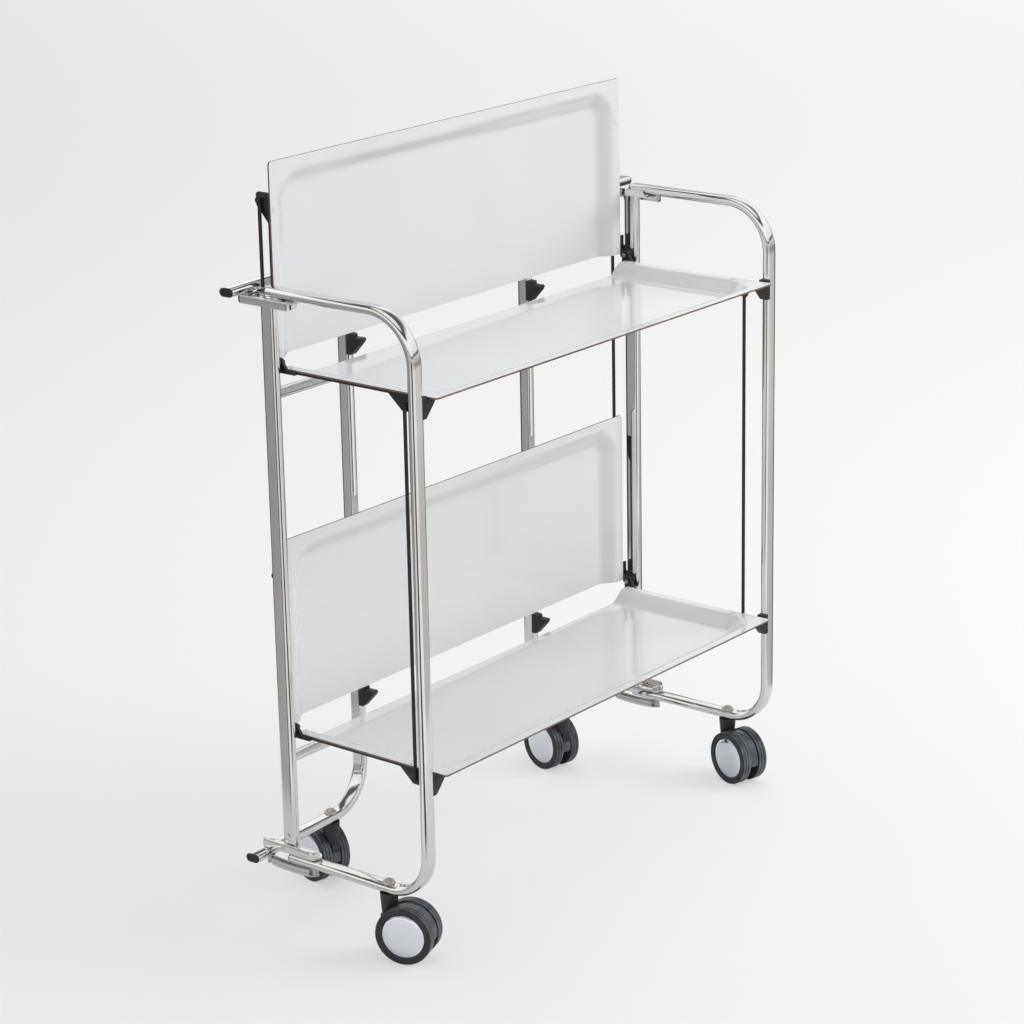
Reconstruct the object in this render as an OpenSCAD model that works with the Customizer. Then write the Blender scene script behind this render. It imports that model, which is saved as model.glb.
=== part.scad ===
// Folding room service table: two trays split along the middle, carried by
// two posts and four swinging C-shaped tube frames on twin-wheel casters.
// The front half stands open, the rear half is folded up behind it.
// Working axes: X along the trays, Y = 0 on the line of the posts, Z up, floor at Z = 0.

/* [Trays] */
// Length of each tray half along the hinge line
tray_len = 607; // [560:1:700]
// Distance from the hinge line to the outer edge of a half
tray_half = 213; // [209:1:230]
// Gap left between the two open halves of one tray
tray_gap = 1.5; // [1:0.1:3]
// Thickness of the pressed laminate sheet
tray_sheet = 2; // [1.6:0.1:2.4]
// Width of the flat rim
rim_w = 13; // [12:0.5:15]
// Width of the sloped step between rim and floor
step_w = 17; // [12:0.5:22]
// Depth of the floor below the rim
recess = 13.5; // [10:0.5:13.5]
// Radius of the outer tray corners
corner_r = 4; // [2:0.5:12]
// Depth of the rim below the hinge pins
rim_drop = 6.5; // [6:0.1:7]

/* [Heights] */
// Height of the upper hinge pins above the floor
upper_pin_z = 642; // [625:1:655]
// Height of the lower hinge pins above the floor
lower_pin_z = 229; // [205:1:260]
// Height of the top frame rails, at their centre
top_rail_z = 722; // [715:1:740]
// Height of the bottom frame rails, at their centre
bottom_rail_z = 81; // [81:0.5:90]

/* [Posts and frames] */
// Gap between the ends of the trays and the posts
post_gap = 10.5; // [10:0.5:16]
// Post section, along Y
post_depth = 20; // [18:0.5:22]
// Post section, along X
post_thick = 10; // [9:0.5:10]
// Frame tube section, across the plane of the frame
tube_w = 18; // [16:0.5:18]
// Frame tube section, in the plane of the frame
tube_t = 10; // [9:0.5:11]
// Wall thickness of posts and frame tubes
tube_wall = 1.5; // [1.2:0.1:2]
// Distance from the post line to the frame pivots
pivot_off = 33; // [33:0.5:36]
// Distance from a frame pivot to the centre of its leg
leg_reach = 165; // [145:1:190]
// Centreline radius of the upper frame bends
top_bend_r = 55; // [30:1:60]
// Centreline radius of the lower frame bends
bottom_bend_r = 50; // [30:1:52]
// Diameter of the two cross rails
cross_rail_d = 12; // [10:0.5:12]
// Wall thickness of the cross rails
cross_rail_wall = 1.2; // [1:0.1:2]
// Depth of the cross rails below the hinge pins
cross_rail_drop = 32.5; // [32.5:0.5:40]
// Resting angle of the rear left frame, from the folded position
rear_left_angle = 3.5; // [1:0.5:6]
// Resting angle of the rear right frame, from the folded position
rear_right_angle = 0.5; // [0.5:0.5:3]

/* [Pivot brackets] */
// Length of the brackets
bracket_len = 81; // [80:1:84]
// Width of the brackets
bracket_w = 19; // [17:0.5:19]
// Height of the outer wall of the brackets
bracket_h = 9; // [8:0.5:13]
// Wall thickness of the brackets
bracket_wall = 2; // [1.5:0.1:2.5]
// Length of the inner wall that stands beside the tails of the frames
stop_len = 60; // [40:1:62]
// Diameter of the pivot rivets
rivet_d = 8; // [7:0.5:8]
// Thickness of the washer between a bracket and its frame tube
washer_t = 1.2; // [0.8:0.1:1.4]

/* [Hinges and links] */
// Diameter of the hinge pins
pin_d = 4.4; // [4:0.1:5]
// Thickness of the ears of the front trays
front_ear_t = 4; // [3:0.1:4]
// Thickness of the ears of the rear trays
rear_ear_t = 3.7; // [3:0.1:3.7]
// Radius of the ears around the pins
ear_r = 5; // [4:0.1:5.5]
// Thickness of the end bracket sheet
angle_t = 2; // [1.5:0.1:2]
// Height of the end bracket below the rim
angle_h = 2.5; // [2:0.5:7]
// Distance from the legs back to the link rod pivots
link_back = 26; // [24:1:33]
// Depth of the link rod pivots below the hinge pins
link_drop = 20; // [19:0.5:20]
// Diameter of the link rods
rod_d = 4; // [2.5:0.1:4.2]
// Diameter of the link rod pivots
stub_d = 4; // [3:0.1:4.2]

/* [Tray rests] */
// Width of a rest along its leg's flat side
rest_w = 10; // [8:0.5:10]
// How far a rest reaches in from its leg
rest_reach = 17; // [14:0.5:17]
// Height of a rest below its shelf
rest_h = 20; // [14:0.5:20]

/* [Casters] */
// Wheel diameter
wheel_d = 65; // [58:1:66]
// Width of one wheel of a pair
wheel_w = 12.5; // [10:0.5:14]
// Thickness of the housing between the wheels
hood_t = 11; // [10:0.5:14]
// Distance from the swivel axis to the axle
trail = 21.7; // [18:0.1:24]
// Gap between the dome of a caster and the start of the lower bend
caster_gap = 0.1; // [0.1:0.1:10]
// Diameter of the polished wheel covers
cover_d = 50; // [40:1:52]
// Axle diameter
axle_d = 6; // [5:0.5:7]
// Diameter of the caster stem inside its housing
stem_d = 7; // [6:0.5:7]
// Diameter of the polished dome on top of the stem
dome_d = 14.8; // [12:0.2:16]
// Top diameter of the housing's neck
neck_d = 20.6; // [18:0.2:22]
// Axle direction of the front left caster, from the X axis
front_left_turn = 18.5; // [-30:0.5:30]
// Axle direction of the front right caster, from the X axis
front_right_turn = -16; // [-30:0.5:30]
// Axle direction of both rear casters, from the X axis
rear_turn = 168; // [150:1:200]

/* [Springs] */
// Outer diameter of the springs
spring_d = 11; // [9:0.5:11.5]
// Wire diameter of the springs
spring_wire = 1.6; // [1.2:0.1:2]

/* [Hidden] */
$fn = 48;

// clearances
run_fit = 0.05;    // radial play of a turning pin
seat_gap = 0.3;    // play between a piece and its seat
slide_fit = 0.1;   // play of a plug or saddle around a tube
over = 1;          // overrun of cutting shapes

// posts and brackets
post_inner = tray_len / 2 + post_gap;
post_x = post_inner + post_thick / 2;
bracket_lift = washer_t + seat_gap;
top_web_z = top_rail_z - tube_t / 2 - bracket_lift;
bottom_web_z = bottom_rail_z + tube_t / 2 + bracket_lift;
post_top = top_web_z - bracket_wall;
post_foot = bottom_web_z + bracket_wall;
washer_d = bracket_w - 2 * bracket_wall;
wall_corner = 8;
stop_t = 1.2;
stop_x = tube_w / 2 + seat_gap;
stop_rise = bracket_lift + tube_t / 2;
skirt_h = 7;
skirt_t = 0.6;
skirt_split = 0.5;

// frame tails and their plugs
tail_gap = 0.8;
plug_cap = 1.5;
plug_depth = 8;
cap_inset = 0.2;
tail_len = pivot_off - tail_gap - plug_cap;
caster_reach = leg_reach - bottom_bend_r - dome_d / 2 - caster_gap;

// rivets and springs under the bottom rails
rail_under = bottom_rail_z - tube_t / 2;
head_rim = 1.5;
rivet_head_h = 1.6;
stud_d = rivet_d - 1;
stud_flange_t = 1.5;
stud_rim = 0.8;
spring_z = rail_under - 2 * seat_gap - rivet_head_h - spring_d / 2;
hook_r = stud_d / 2 + seat_gap + spring_wire / 2;
stud_end_z = spring_z - spring_wire / 2 - seat_gap - stud_flange_t;

// trays, in a frame with the hinge pin at the origin
rim_under = -rim_drop - tray_sheet;
slope_len = sqrt(pow(step_w, 2) + pow(recess, 2));
slope_shift = tray_sheet * slope_len / recess;
tray_end = tray_len / 2;

// ears, end brackets and link rods
ear_gap = 0.5;
ear_play = 1.3;
ear_taper = 0.5;
ear_foot = 2.5;
edge_inset = 0.2;
front_ear_x = tray_end + ear_gap;
rear_ear_x = front_ear_x + front_ear_t + ear_play;
angle_out = tray_end - edge_inset;
angle_in = angle_out - angle_t;
angle_under = rim_under - angle_h;
angle_start = 6;
block_end = 22;
link_reach = pivot_off + leg_reach - link_back;
lug_half = 6;
lug_cut = 3;
lug_run = 24;
lug_foot = 7;
lug_low = link_drop + lug_foot;
lug_end = 8;
link_end = link_reach + lug_end;
flange_w = 9;
flange_t = 1.5;
rod_off = 2.5;
rod_x = tray_end + rod_off;
eye_rim = 0.2;
rod_eye_t = rod_d + 2 * eye_rim;
eye_wall = 0.8;
rod_eye_d = stub_d + 2 * eye_wall;
stub_end = rod_x + rod_eye_t / 2 + seat_gap;
stub_head_t = 0.6;
stub_head_rim = 1.2;
pin_head_t = 3;
pin_head_rim = 0.6;
pin_tail = 5;
pin_end_x = post_inner + tube_wall + pin_tail;

// rivets that hold the end brackets
tray_rivet_d = 3.2;
tray_rivet_head_d = 7;
tray_rivet_inset = 5.7;
tray_rivet_x = tray_end - tray_rivet_inset;
first_rivet = 11;
last_rivet = 10;
tray_rivet_spots = [first_rivet, link_reach - last_rivet];
tray_rivet_head_h = 0.9;
rivet_tail_h = 1;
rivet_tail_rim = 1.2;

// tray rests
lip_t = 5;
lip_top = -5;
rest_cut = 1.5;
rest_tip_h = 5;
rest_foot = 2;
shelf_z = rim_under - seat_gap;

// casters
wheel_r = wheel_d / 2;
wheel_gap = 0.65;
wheel_in = hood_t / 2 + wheel_gap;
wheel_out = wheel_in + wheel_w;
cover_t = 1.4;
cover_play = 0.2;
tyre_in_r = cover_d / 2 + cover_play;
core_r = tyre_in_r - slide_fit;
groove_places = [0.3, 0.62];
groove_w = 1;
groove_d = 0.8;
edge_cut = 1.2;
hood_inset = 1.5;
hood_r = wheel_r - hood_inset;
hood_low = 27;
neck_rise = 12;
neck_low = wheel_r + neck_rise;
neck_low_d = 15.6;
web_front = 8.6;
web_rise = 6;
stem_rise = 13;
stem_low = wheel_r + stem_rise;
housing_top = rail_under - seat_gap;
dome_h = 5.5;
stem_shank_d = 8;
dome_seat = 0.02;

// the origin sits on the floor under the middle of the whole outline
rear_caster_y = pivot_off + caster_reach * sin(rear_left_angle);
rear_wheel_y = rear_caster_y - trail * cos(rear_turn);
outline_back = rear_wheel_y + wheel_r * abs(cos(rear_turn)) + wheel_out * abs(sin(rear_turn));
home_y = (tray_half - outline_back) / 2;

module at_home() {
    translate([0, home_y, 0]) children();
}

module both_ends() {
    for (side = [0, 1]) mirror([side, 0, 0]) children();
}

// flat-sided oval, long side along X
module oval(length, width) {
    square([length - width, width], center = true);
    for (side = [-1, 1]) translate([side * (length - width) / 2, 0]) circle(d = width);
}

// ---- posts, cross rails and brackets ----

module post() {
    color("silver") difference() {
        translate([post_x, 0, post_foot])
            linear_extrude(post_top - post_foot) difference() {
                rotate(90) oval(post_depth, post_thick);
                rotate(90) oval(post_depth - 2 * tube_wall, post_thick - 2 * tube_wall);
            }
        for (pin_z = [lower_pin_z, upper_pin_z])
            translate([post_inner - over, 0, pin_z]) rotate([0, 90, 0])
                cylinder(d = pin_d + 2 * run_fit, h = tube_wall + 2 * over);
    }
}

module left_post() { at_home() mirror([1, 0, 0]) post(); }
module right_post() { at_home() post(); }

module cross_rails() {
    color("silver") at_home() for (pin_z = [lower_pin_z, upper_pin_z])
        translate([0, 0, pin_z - cross_rail_drop]) rotate([0, 90, 0]) difference() {
            cylinder(d = cross_rail_d, h = 2 * post_inner, center = true);
            cylinder(d = cross_rail_d - 2 * cross_rail_wall, h = 2 * post_inner + over, center = true);
        }
}

// side view of the outer wall, with its free corners rounded
module wall_outline() {
    reach = bracket_len / 2 - wall_corner;
    translate([-reach, -bracket_h]) square([2 * reach, bracket_h]);
    translate([-bracket_len / 2, wall_corner - bracket_h]) square([bracket_len, bracket_h - wall_corner]);
    for (side = [-1, 1]) translate([side * reach, wall_corner - bracket_h]) circle(r = wall_corner);
}

// side view of the inner wall, with hollow flanks that clear the tubes
module stop_outline() {
    difference() {
        translate([-stop_len / 2, -bracket_wall]) square([stop_len, bracket_wall + stop_rise]);
        for (side = [-1, 1]) translate([side * stop_len / 2, stop_rise]) circle(r = stop_rise);
    }
}

// pressed bracket under the tubes: a flat web, an outer wall that hangs from it round both ends,
// and an inner wall that stands up beside the tails of the frames
module pressed_bracket() {
    difference() {
        union() {
            translate([0, 0, -bracket_wall]) linear_extrude(bracket_wall) rotate(90)
                oval(bracket_len, bracket_w);
            intersection() {
                translate([0, 0, -bracket_h]) linear_extrude(bracket_h) difference() {
                    rotate(90) oval(bracket_len, bracket_w);
                    rotate(90) oval(bracket_len - 2 * bracket_wall, bracket_w - 2 * bracket_wall);
                    translate([-bracket_w, -bracket_len]) square([bracket_w, 2 * bracket_len]);
                }
                rotate([90, 0, 90]) linear_extrude(bracket_w) wall_outline();
            }
            translate([-stop_x - stop_t, 0, 0]) rotate([90, 0, 90]) linear_extrude(stop_t) stop_outline();
            translate([-stop_x - stop_t, -stop_len / 2, -bracket_wall])
                cube([stop_t + bracket_wall, stop_len, bracket_wall]);
        }
        for (side = [-1, 1]) translate([0, side * pivot_off, -bracket_wall - over])
            cylinder(d = rivet_d + 2 * run_fit, h = bracket_wall + 2 * over);
    }
}

// thin skirt of the top bracket on the inner side of the post
module skirt() {
    grow = 2 * (skirt_t + slide_fit);
    intersection() {
        translate([0, 0, -skirt_h]) linear_extrude(skirt_h) difference() {
            rotate(90) oval(post_depth + grow, post_thick + grow);
            rotate(90) oval(post_depth + 2 * slide_fit, post_thick + 2 * slide_fit);
        }
        translate([-post_thick - skirt_split, -post_depth, -skirt_h - over])
            cube([post_thick, 2 * post_depth, skirt_h + 2 * over]);
    }
}

module top_bracket() {
    color("silver") {
        translate([post_x, 0, top_web_z]) pressed_bracket();
        translate([post_x, 0, post_top]) skirt();
    }
}

module bottom_bracket() {
    color("silver") translate([post_x, 0, bottom_web_z]) mirror([0, 0, 1]) pressed_bracket();
}

module left_top_bracket() { at_home() mirror([1, 0, 0]) top_bracket(); }
module right_top_bracket() { at_home() top_bracket(); }
module left_bottom_bracket() { at_home() mirror([1, 0, 0]) bottom_bracket(); }
module right_bottom_bracket() { at_home() bottom_bracket(); }

// set head of a rivet, on the free side of the web
module rivet_head() {
    cylinder(d = rivet_d + 2 * head_rim, h = rivet_head_h);
}

module top_rivet() {
    top_wall = top_rail_z + tube_t / 2 - tube_wall;
    translate([0, 0, post_top]) cylinder(d = rivet_d, h = top_wall - seat_gap - post_top);
    translate([0, 0, top_web_z]) cylinder(d = washer_d, h = washer_t);
    translate([0, 0, post_top - rivet_head_h]) rivet_head();
}

// the lower rivet ends in a grooved stud that holds the spring
module bottom_rivet() {
    head_top = rail_under - seat_gap;
    translate([0, 0, head_top]) cylinder(d = rivet_d, h = post_foot - head_top);
    translate([0, 0, bottom_web_z - washer_t]) cylinder(d = washer_d, h = washer_t);
    translate([0, 0, post_foot]) rivet_head();
    translate([0, 0, head_top - rivet_head_h]) rivet_head();
    translate([0, 0, stud_end_z]) {
        cylinder(d = stud_d, h = head_top - stud_end_z);
        cylinder(d = stud_d + 2 * stud_rim, h = stud_flange_t);
    }
}

module pivot_rivets() {
    color("gainsboro") at_home() both_ends() for (side = [-1, 1])
        translate([post_x, side * pivot_off, 0]) {
            top_rivet();
            bottom_rivet();
        }
}

module hinge_pins() {
    head_x = tray_end - pin_head_t;
    color("gainsboro") at_home() both_ends() for (pin_z = [lower_pin_z, upper_pin_z])
        translate([head_x, 0, pin_z]) rotate([0, 90, 0]) {
            cylinder(d = pin_d + 2 * pin_head_rim, h = pin_head_t);
            cylinder(d = pin_d, h = pin_end_x - head_x);
        }
}

// close-wound spring drawn as a tube, with a ring over each stud
module spring() {
    body_half = pivot_off - hook_r;
    color("darkgray") translate([post_x, 0, spring_z]) {
        rotate([90, 0, 0]) difference() {
            cylinder(d = spring_d, h = 2 * body_half, center = true);
            cylinder(d = spring_d - 2 * spring_wire, h = 2 * (body_half - spring_wire), center = true);
        }
        for (side = [-1, 1]) translate([0, side * pivot_off, 0])
            rotate_extrude() translate([hook_r, 0]) circle(d = spring_wire);
    }
}

module left_spring() { at_home() mirror([1, 0, 0]) spring(); }
module right_spring() { at_home() spring(); }

// ---- frames: tube along +X from the pivot, inner side towards -Y ----

module tube_path(width, depth, overrun) {
    leg_low = bottom_rail_z + bottom_bend_r;
    leg_high = top_rail_z - top_bend_r;
    for (rail = [[top_rail_z, top_bend_r], [bottom_rail_z, bottom_bend_r]])
        translate([-tail_len - overrun, 0, rail[0]]) rotate([90, 0, 90])
            linear_extrude(tail_len + overrun + leg_reach - rail[1]) oval(width, depth);
    translate([leg_reach - top_bend_r, 0, leg_high]) quarter_bend(top_bend_r, width, depth);
    translate([leg_reach - bottom_bend_r, 0, leg_low]) mirror([0, 0, 1])
        quarter_bend(bottom_bend_r, width, depth);
    translate([leg_reach, 0, leg_low]) linear_extrude(leg_high - leg_low) rotate(90) oval(width, depth);
}

module quarter_bend(radius, width, depth) {
    rotate([90, 0, 0]) rotate_extrude(angle = 90) translate([radius, 0]) rotate(90) oval(width, depth);
}

module frame() {
    color("silver") difference() {
        tube_path(tube_w, tube_t, 0);
        tube_path(tube_w - 2 * tube_wall, tube_t - 2 * tube_wall, over);
        translate([0, 0, top_rail_z - tube_t / 2 - over])
            cylinder(d = rivet_d + 2 * run_fit, h = tube_t / 2 + over);
        translate([0, 0, rail_under - over]) cylinder(d = rivet_d + 2 * run_fit, h = tube_t + 2 * over);
        translate([caster_reach, 0, rail_under - over])
            cylinder(d = stem_shank_d + 2 * run_fit, h = tube_t + 2 * over);
    }
}

module tube_plugs() {
    bore_w = tube_w - 2 * (tube_wall + slide_fit);
    bore_t = tube_t - 2 * (tube_wall + slide_fit);
    color("#1c1c1e") for (rail_z = [top_rail_z, bottom_rail_z])
        translate([-tail_len - plug_cap, 0, rail_z]) rotate([90, 0, 90]) {
            linear_extrude(plug_cap) oval(tube_w - 2 * cap_inset, tube_t - 2 * cap_inset);
            linear_extrude(plug_cap + plug_depth) oval(bore_w, bore_t);
        }
}

// wedge on the leg: a lip beside the tray's end, a shelf under its rim and a slanted underside
module tray_rest(pin_z) {
    face = tube_w / 2;
    tip = face + rest_reach;
    difference() {
        translate([leg_reach, 0, pin_z]) rotate([90, 0, -90]) linear_extrude(rest_w, center = true)
            polygon([[face - tube_t / 2, lip_top], [face + lip_t - rest_cut, lip_top],
                [face + lip_t, lip_top - rest_cut], [face + lip_t, shelf_z], [tip - rest_cut, shelf_z],
                [tip, shelf_z - rest_cut], [tip - rest_cut, shelf_z - rest_tip_h],
                [face + rest_foot, shelf_z - rest_h], [face - tube_t / 2, shelf_z - rest_h]]);
        translate([leg_reach, 0, pin_z - 2 * rest_h]) linear_extrude(3 * rest_h) rotate(90)
            oval(tube_w + 2 * slide_fit, tube_t + 2 * slide_fit);
    }
}

module tray_rests() {
    color("#1c1c1e") for (pin_z = [lower_pin_z, upper_pin_z]) tray_rest(pin_z);
}

module front_place() {
    translate([-post_x, -pivot_off, 0]) rotate(-90) mirror([0, 1, 0]) children();
}

module rear_place(angle) {
    translate([-post_x, pivot_off, 0]) rotate(angle) children();
}

module front_left_frame() { at_home() front_place() frame(); }
module front_right_frame() { at_home() mirror([1, 0, 0]) front_place() frame(); }
module rear_left_frame() { at_home() rear_place(rear_left_angle) frame(); }
module rear_right_frame() { at_home() mirror([1, 0, 0]) rear_place(rear_right_angle) frame(); }
module front_tube_plugs() { at_home() both_ends() front_place() tube_plugs(); }
module rear_left_tube_plugs() { at_home() rear_place(rear_left_angle) tube_plugs(); }
module rear_right_tube_plugs() { at_home() mirror([1, 0, 0]) rear_place(rear_right_angle) tube_plugs(); }
module front_tray_rests() { at_home() both_ends() front_place() tray_rests(); }
module rear_left_tray_rests() { at_home() rear_place(rear_left_angle) tray_rests(); }
module rear_right_tray_rests() { at_home() mirror([1, 0, 0]) rear_place(rear_right_angle) tray_rests(); }

// ---- trays: hinge pin at the origin, tray reaching towards -Y ----

module tray_outline() {
    inner_edge = tray_gap / 2;
    translate([-tray_end, -tray_half + corner_r]) square([tray_len, tray_half - corner_r - inner_edge]);
    translate([-tray_end + corner_r, -tray_half])
        square([tray_len - 2 * corner_r, tray_half - inner_edge]);
    for (side = [-1, 1]) translate([side * (tray_end - corner_r), -tray_half + corner_r])
        circle(r = corner_r);
}

// sloped tub from a little above or below the rim down to a depth, widened by shift
module tub(rise, depth, shift, back) {
    half_x = tray_end - rim_w + shift;
    half_y = tray_half - rim_w + shift;
    top = -rim_drop + rise;
    low = -rim_drop - depth;
    grow = rise * step_w / recess;
    run = depth * step_w / recess;
    intersection() {
        translate([0, back, 0]) rotate([90, 0, 0]) linear_extrude(tray_half + back)
            polygon([[-half_x - grow, top], [-half_x + run, low], [half_x - run, low], [half_x + grow, top]]);
        rotate([90, 0, 90]) linear_extrude(tray_len, center = true)
            polygon([[back, top], [-half_y - grow, top], [-half_y + run, low], [back, low]]);
    }
}

module tray_rivet_holes(low, high) {
    for (side = [-1, 1], spot = tray_rivet_spots)
        translate([side * tray_rivet_x, -spot, low]) cylinder(d = tray_rivet_d + 2 * run_fit, h = high - low);
}

module tray() {
    color("whitesmoke") difference() {
        union() {
            translate([0, 0, rim_under]) linear_extrude(tray_sheet) tray_outline();
            tub(-tray_sheet / 2, recess + tray_sheet, slope_shift, -tray_gap / 2);
        }
        tub(over, recess, 0, over);
        tray_rivet_holes(rim_under - over, over - rim_drop);
    }
}

// angle under the end rim, with the hinge ear at one end and the link rod's lug near the other
module end_bracket(ear_x, ear_t) {
    block_out = ear_x + ear_t;
    difference() {
        union() {
            translate([angle_in, -link_end, angle_under])
                cube([angle_t, link_end - angle_start, angle_h]);
            translate([angle_out - flange_w, -link_end, rim_under - flange_t])
                cube([flange_w, link_end - angle_start, flange_t]);
            translate([angle_in, 0, 0]) rotate([90, 0, 90]) linear_extrude(angle_t)
                polygon([[-link_reach + lug_run, angle_under], [-link_reach + lug_half, -lug_low],
                    [-link_reach - lug_half, -lug_low], [-link_end, -lug_low + lug_cut],
                    [-link_end, angle_under]]);
            translate([angle_in, -block_end, angle_under])
                cube([block_out - angle_in, block_end - angle_start, angle_h]);
            translate([ear_x, 0, 0]) rotate([90, 0, 90]) linear_extrude(ear_t) {
                polygon([[ear_r, 0], [ear_r - ear_taper, angle_under], [-block_end, angle_under],
                    [-block_end, angle_under + ear_foot], [-block_end / 2, rim_under], [-ear_r, 0]]);
                circle(r = ear_r);
            }
            translate([angle_in, -link_reach, -link_drop]) rotate([0, 90, 0]) {
                cylinder(d = stub_d, h = stub_end - angle_in);
                translate([0, 0, stub_end - angle_in])
                    cylinder(d = stub_d + 2 * stub_head_rim, h = stub_head_t);
            }
        }
        translate([ear_x - over, 0, 0]) rotate([0, 90, 0])
            cylinder(d = pin_d + 2 * run_fit, h = ear_t + 2 * over);
        tray_rivet_holes(rim_under - flange_t - over, rim_under + over);
    }
}

module front_end_brackets() { color("#1c1c1e") both_ends() end_bracket(front_ear_x, front_ear_t); }
module rear_end_brackets() { color("#1c1c1e") both_ends() end_bracket(rear_ear_x, rear_ear_t); }

module tray_rivets() {
    tail_z = rim_under - flange_t - rivet_tail_h;
    color("whitesmoke") for (side = [-1, 1], spot = tray_rivet_spots)
        translate([side * tray_rivet_x, -spot, 0]) {
            translate([0, 0, -rim_drop]) cylinder(d = tray_rivet_head_d, h = tray_rivet_head_h);
            translate([0, 0, tail_z]) cylinder(d = tray_rivet_d, h = -rim_drop - tail_z);
            translate([0, 0, tail_z]) cylinder(d = tray_rivet_d + 2 * rivet_tail_rim, h = rivet_tail_h);
        }
}

module front_half(pin_z) {
    translate([0, 0, pin_z]) children();
}

module rear_half(pin_z) {
    translate([0, 0, pin_z]) rotate([90, 0, 0]) mirror([0, 1, 0]) children();
}

module front_upper_tray() { at_home() front_half(upper_pin_z) tray(); }
module front_lower_tray() { at_home() front_half(lower_pin_z) tray(); }
module rear_upper_tray() { at_home() rear_half(upper_pin_z) tray(); }
module rear_lower_tray() { at_home() rear_half(lower_pin_z) tray(); }
module front_upper_end_brackets() { at_home() front_half(upper_pin_z) front_end_brackets(); }
module front_lower_end_brackets() { at_home() front_half(lower_pin_z) front_end_brackets(); }
module rear_upper_end_brackets() { at_home() rear_half(upper_pin_z) rear_end_brackets(); }
module rear_lower_end_brackets() { at_home() rear_half(lower_pin_z) rear_end_brackets(); }
module front_upper_tray_rivets() { at_home() front_half(upper_pin_z) tray_rivets(); }
module front_lower_tray_rivets() { at_home() front_half(lower_pin_z) tray_rivets(); }

module rear_tray_rivets() {
    at_home() for (pin_z = [lower_pin_z, upper_pin_z]) rear_half(pin_z) tray_rivets();
}

// rod from the lower lug's pivot at the origin to the upper one, with an eye at each end
module link_rod() {
    span = upper_pin_z - lower_pin_z;
    difference() {
        union() {
            cylinder(d = rod_d, h = span);
            for (level = [0, span]) translate([0, 0, level]) rotate([0, 90, 0])
                cylinder(d = rod_eye_d, h = rod_eye_t, center = true);
        }
        rotate([0, 90, 0]) cylinder(d = stub_d + 2 * seat_gap, h = rod_eye_t + over, center = true);
        translate([0, 0, span]) rotate([0, 90, 0])
            cylinder(d = stub_d + 2 * run_fit, h = rod_eye_t + over, center = true);
    }
}

module front_link_rods() {
    color("#1c1c1e") at_home() both_ends()
        translate([rod_x, -link_reach, lower_pin_z - link_drop]) link_rod();
}

module rear_link_rods() {
    color("#1c1c1e") at_home() both_ends()
        translate([rod_x, link_drop, lower_pin_z + link_reach]) link_rod();
}

// ---- casters: swivel axis at the origin, wheels trailing towards -Y ----

module caster_stem() {
    dome_r = (pow(dome_d / 2, 2) + pow(dome_h, 2)) / (2 * dome_h);
    rail_top = bottom_rail_z + tube_t / 2 + dome_seat;
    color("silver") {
        rotate_extrude() intersection() {
            translate([0, rail_top + dome_h - dome_r]) circle(r = dome_r);
            translate([0, rail_top]) square([dome_d, dome_h + over]);
        }
        translate([0, 0, housing_top]) cylinder(d = stem_shank_d, h = rail_top - housing_top);
        translate([0, 0, stem_low]) cylinder(d = stem_d, h = housing_top - stem_low);
    }
}

module at_axle() {
    translate([0, -trail, wheel_r]) rotate([0, 90, 0]) children();
}

module caster_housing() {
    color("#26272a") difference() {
        union() {
            translate([0, 0, neck_low])
                cylinder(d1 = neck_low_d, d2 = neck_d, h = housing_top - neck_low);
            at_axle() cylinder(r = hood_r, h = hood_t, center = true);
            translate([-hood_t / 2, -trail, hood_low])
                cube([hood_t, trail + web_front, neck_low + web_rise - hood_low]);
        }
        translate([-hood_t, -trail - wheel_d, -over]) cube([2 * hood_t, 2 * wheel_d, hood_low + over]);
        for (side = [-1, 1]) at_axle() translate([0, 0, side * (wheel_out - wheel_gap / 2)])
            cylinder(r = wheel_r + wheel_gap, h = 2 * wheel_w, center = true);
        at_axle() cylinder(d = axle_d + 2 * run_fit, h = hood_t + over, center = true);
        translate([0, 0, stem_low - seat_gap])
            cylinder(d = stem_d + 2 * run_fit, h = housing_top - stem_low + over);
    }
}

module caster_axle() {
    color("gray") at_axle() cylinder(d = axle_d, h = 2 * (wheel_out - cover_t - seat_gap), center = true);
}

// both wheels of a pair: the profile is drawn with its outer face at the top
module wheel_pair() {
    at_axle() for (side = [0, 1]) mirror([0, 0, side]) translate([0, 0, wheel_in]) children();
}

module caster_tyres() {
    color("#3a3c40") wheel_pair() rotate_extrude() difference() {
        polygon([[tyre_in_r, 0], [wheel_r - edge_cut, 0], [wheel_r, edge_cut], [wheel_r, wheel_w - edge_cut],
            [wheel_r - edge_cut, wheel_w], [tyre_in_r, wheel_w]]);
        for (place = groove_places) translate([wheel_r - groove_d, place * wheel_w])
            square([groove_d + over, groove_w]);
    }
}

module caster_cores() {
    color("#1c1c1e") wheel_pair() difference() {
        cylinder(r = core_r, h = wheel_w - cover_t);
        translate([0, 0, -over]) cylinder(d = axle_d + 2 * run_fit, h = wheel_w + over);
    }
}

module caster_covers() {
    color("gainsboro") wheel_pair() translate([0, 0, wheel_w - cover_t]) cylinder(d = cover_d, h = cover_t);
}

module front_left_caster() {
    at_home() front_place() translate([caster_reach, 0, 0]) mirror([0, 1, 0])
        rotate(90 + front_left_turn) children();
}

module front_right_caster() {
    at_home() translate([post_x, -pivot_off - caster_reach, 0]) rotate(front_right_turn) children();
}

module rear_left_caster() {
    at_home() rear_place(rear_left_angle) translate([caster_reach, 0, 0])
        rotate(rear_turn - rear_left_angle) children();
}

module rear_right_caster() {
    at_home() translate([post_x - caster_reach * cos(rear_right_angle),
        pivot_off + caster_reach * sin(rear_right_angle), 0]) rotate(rear_turn) children();
}

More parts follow.
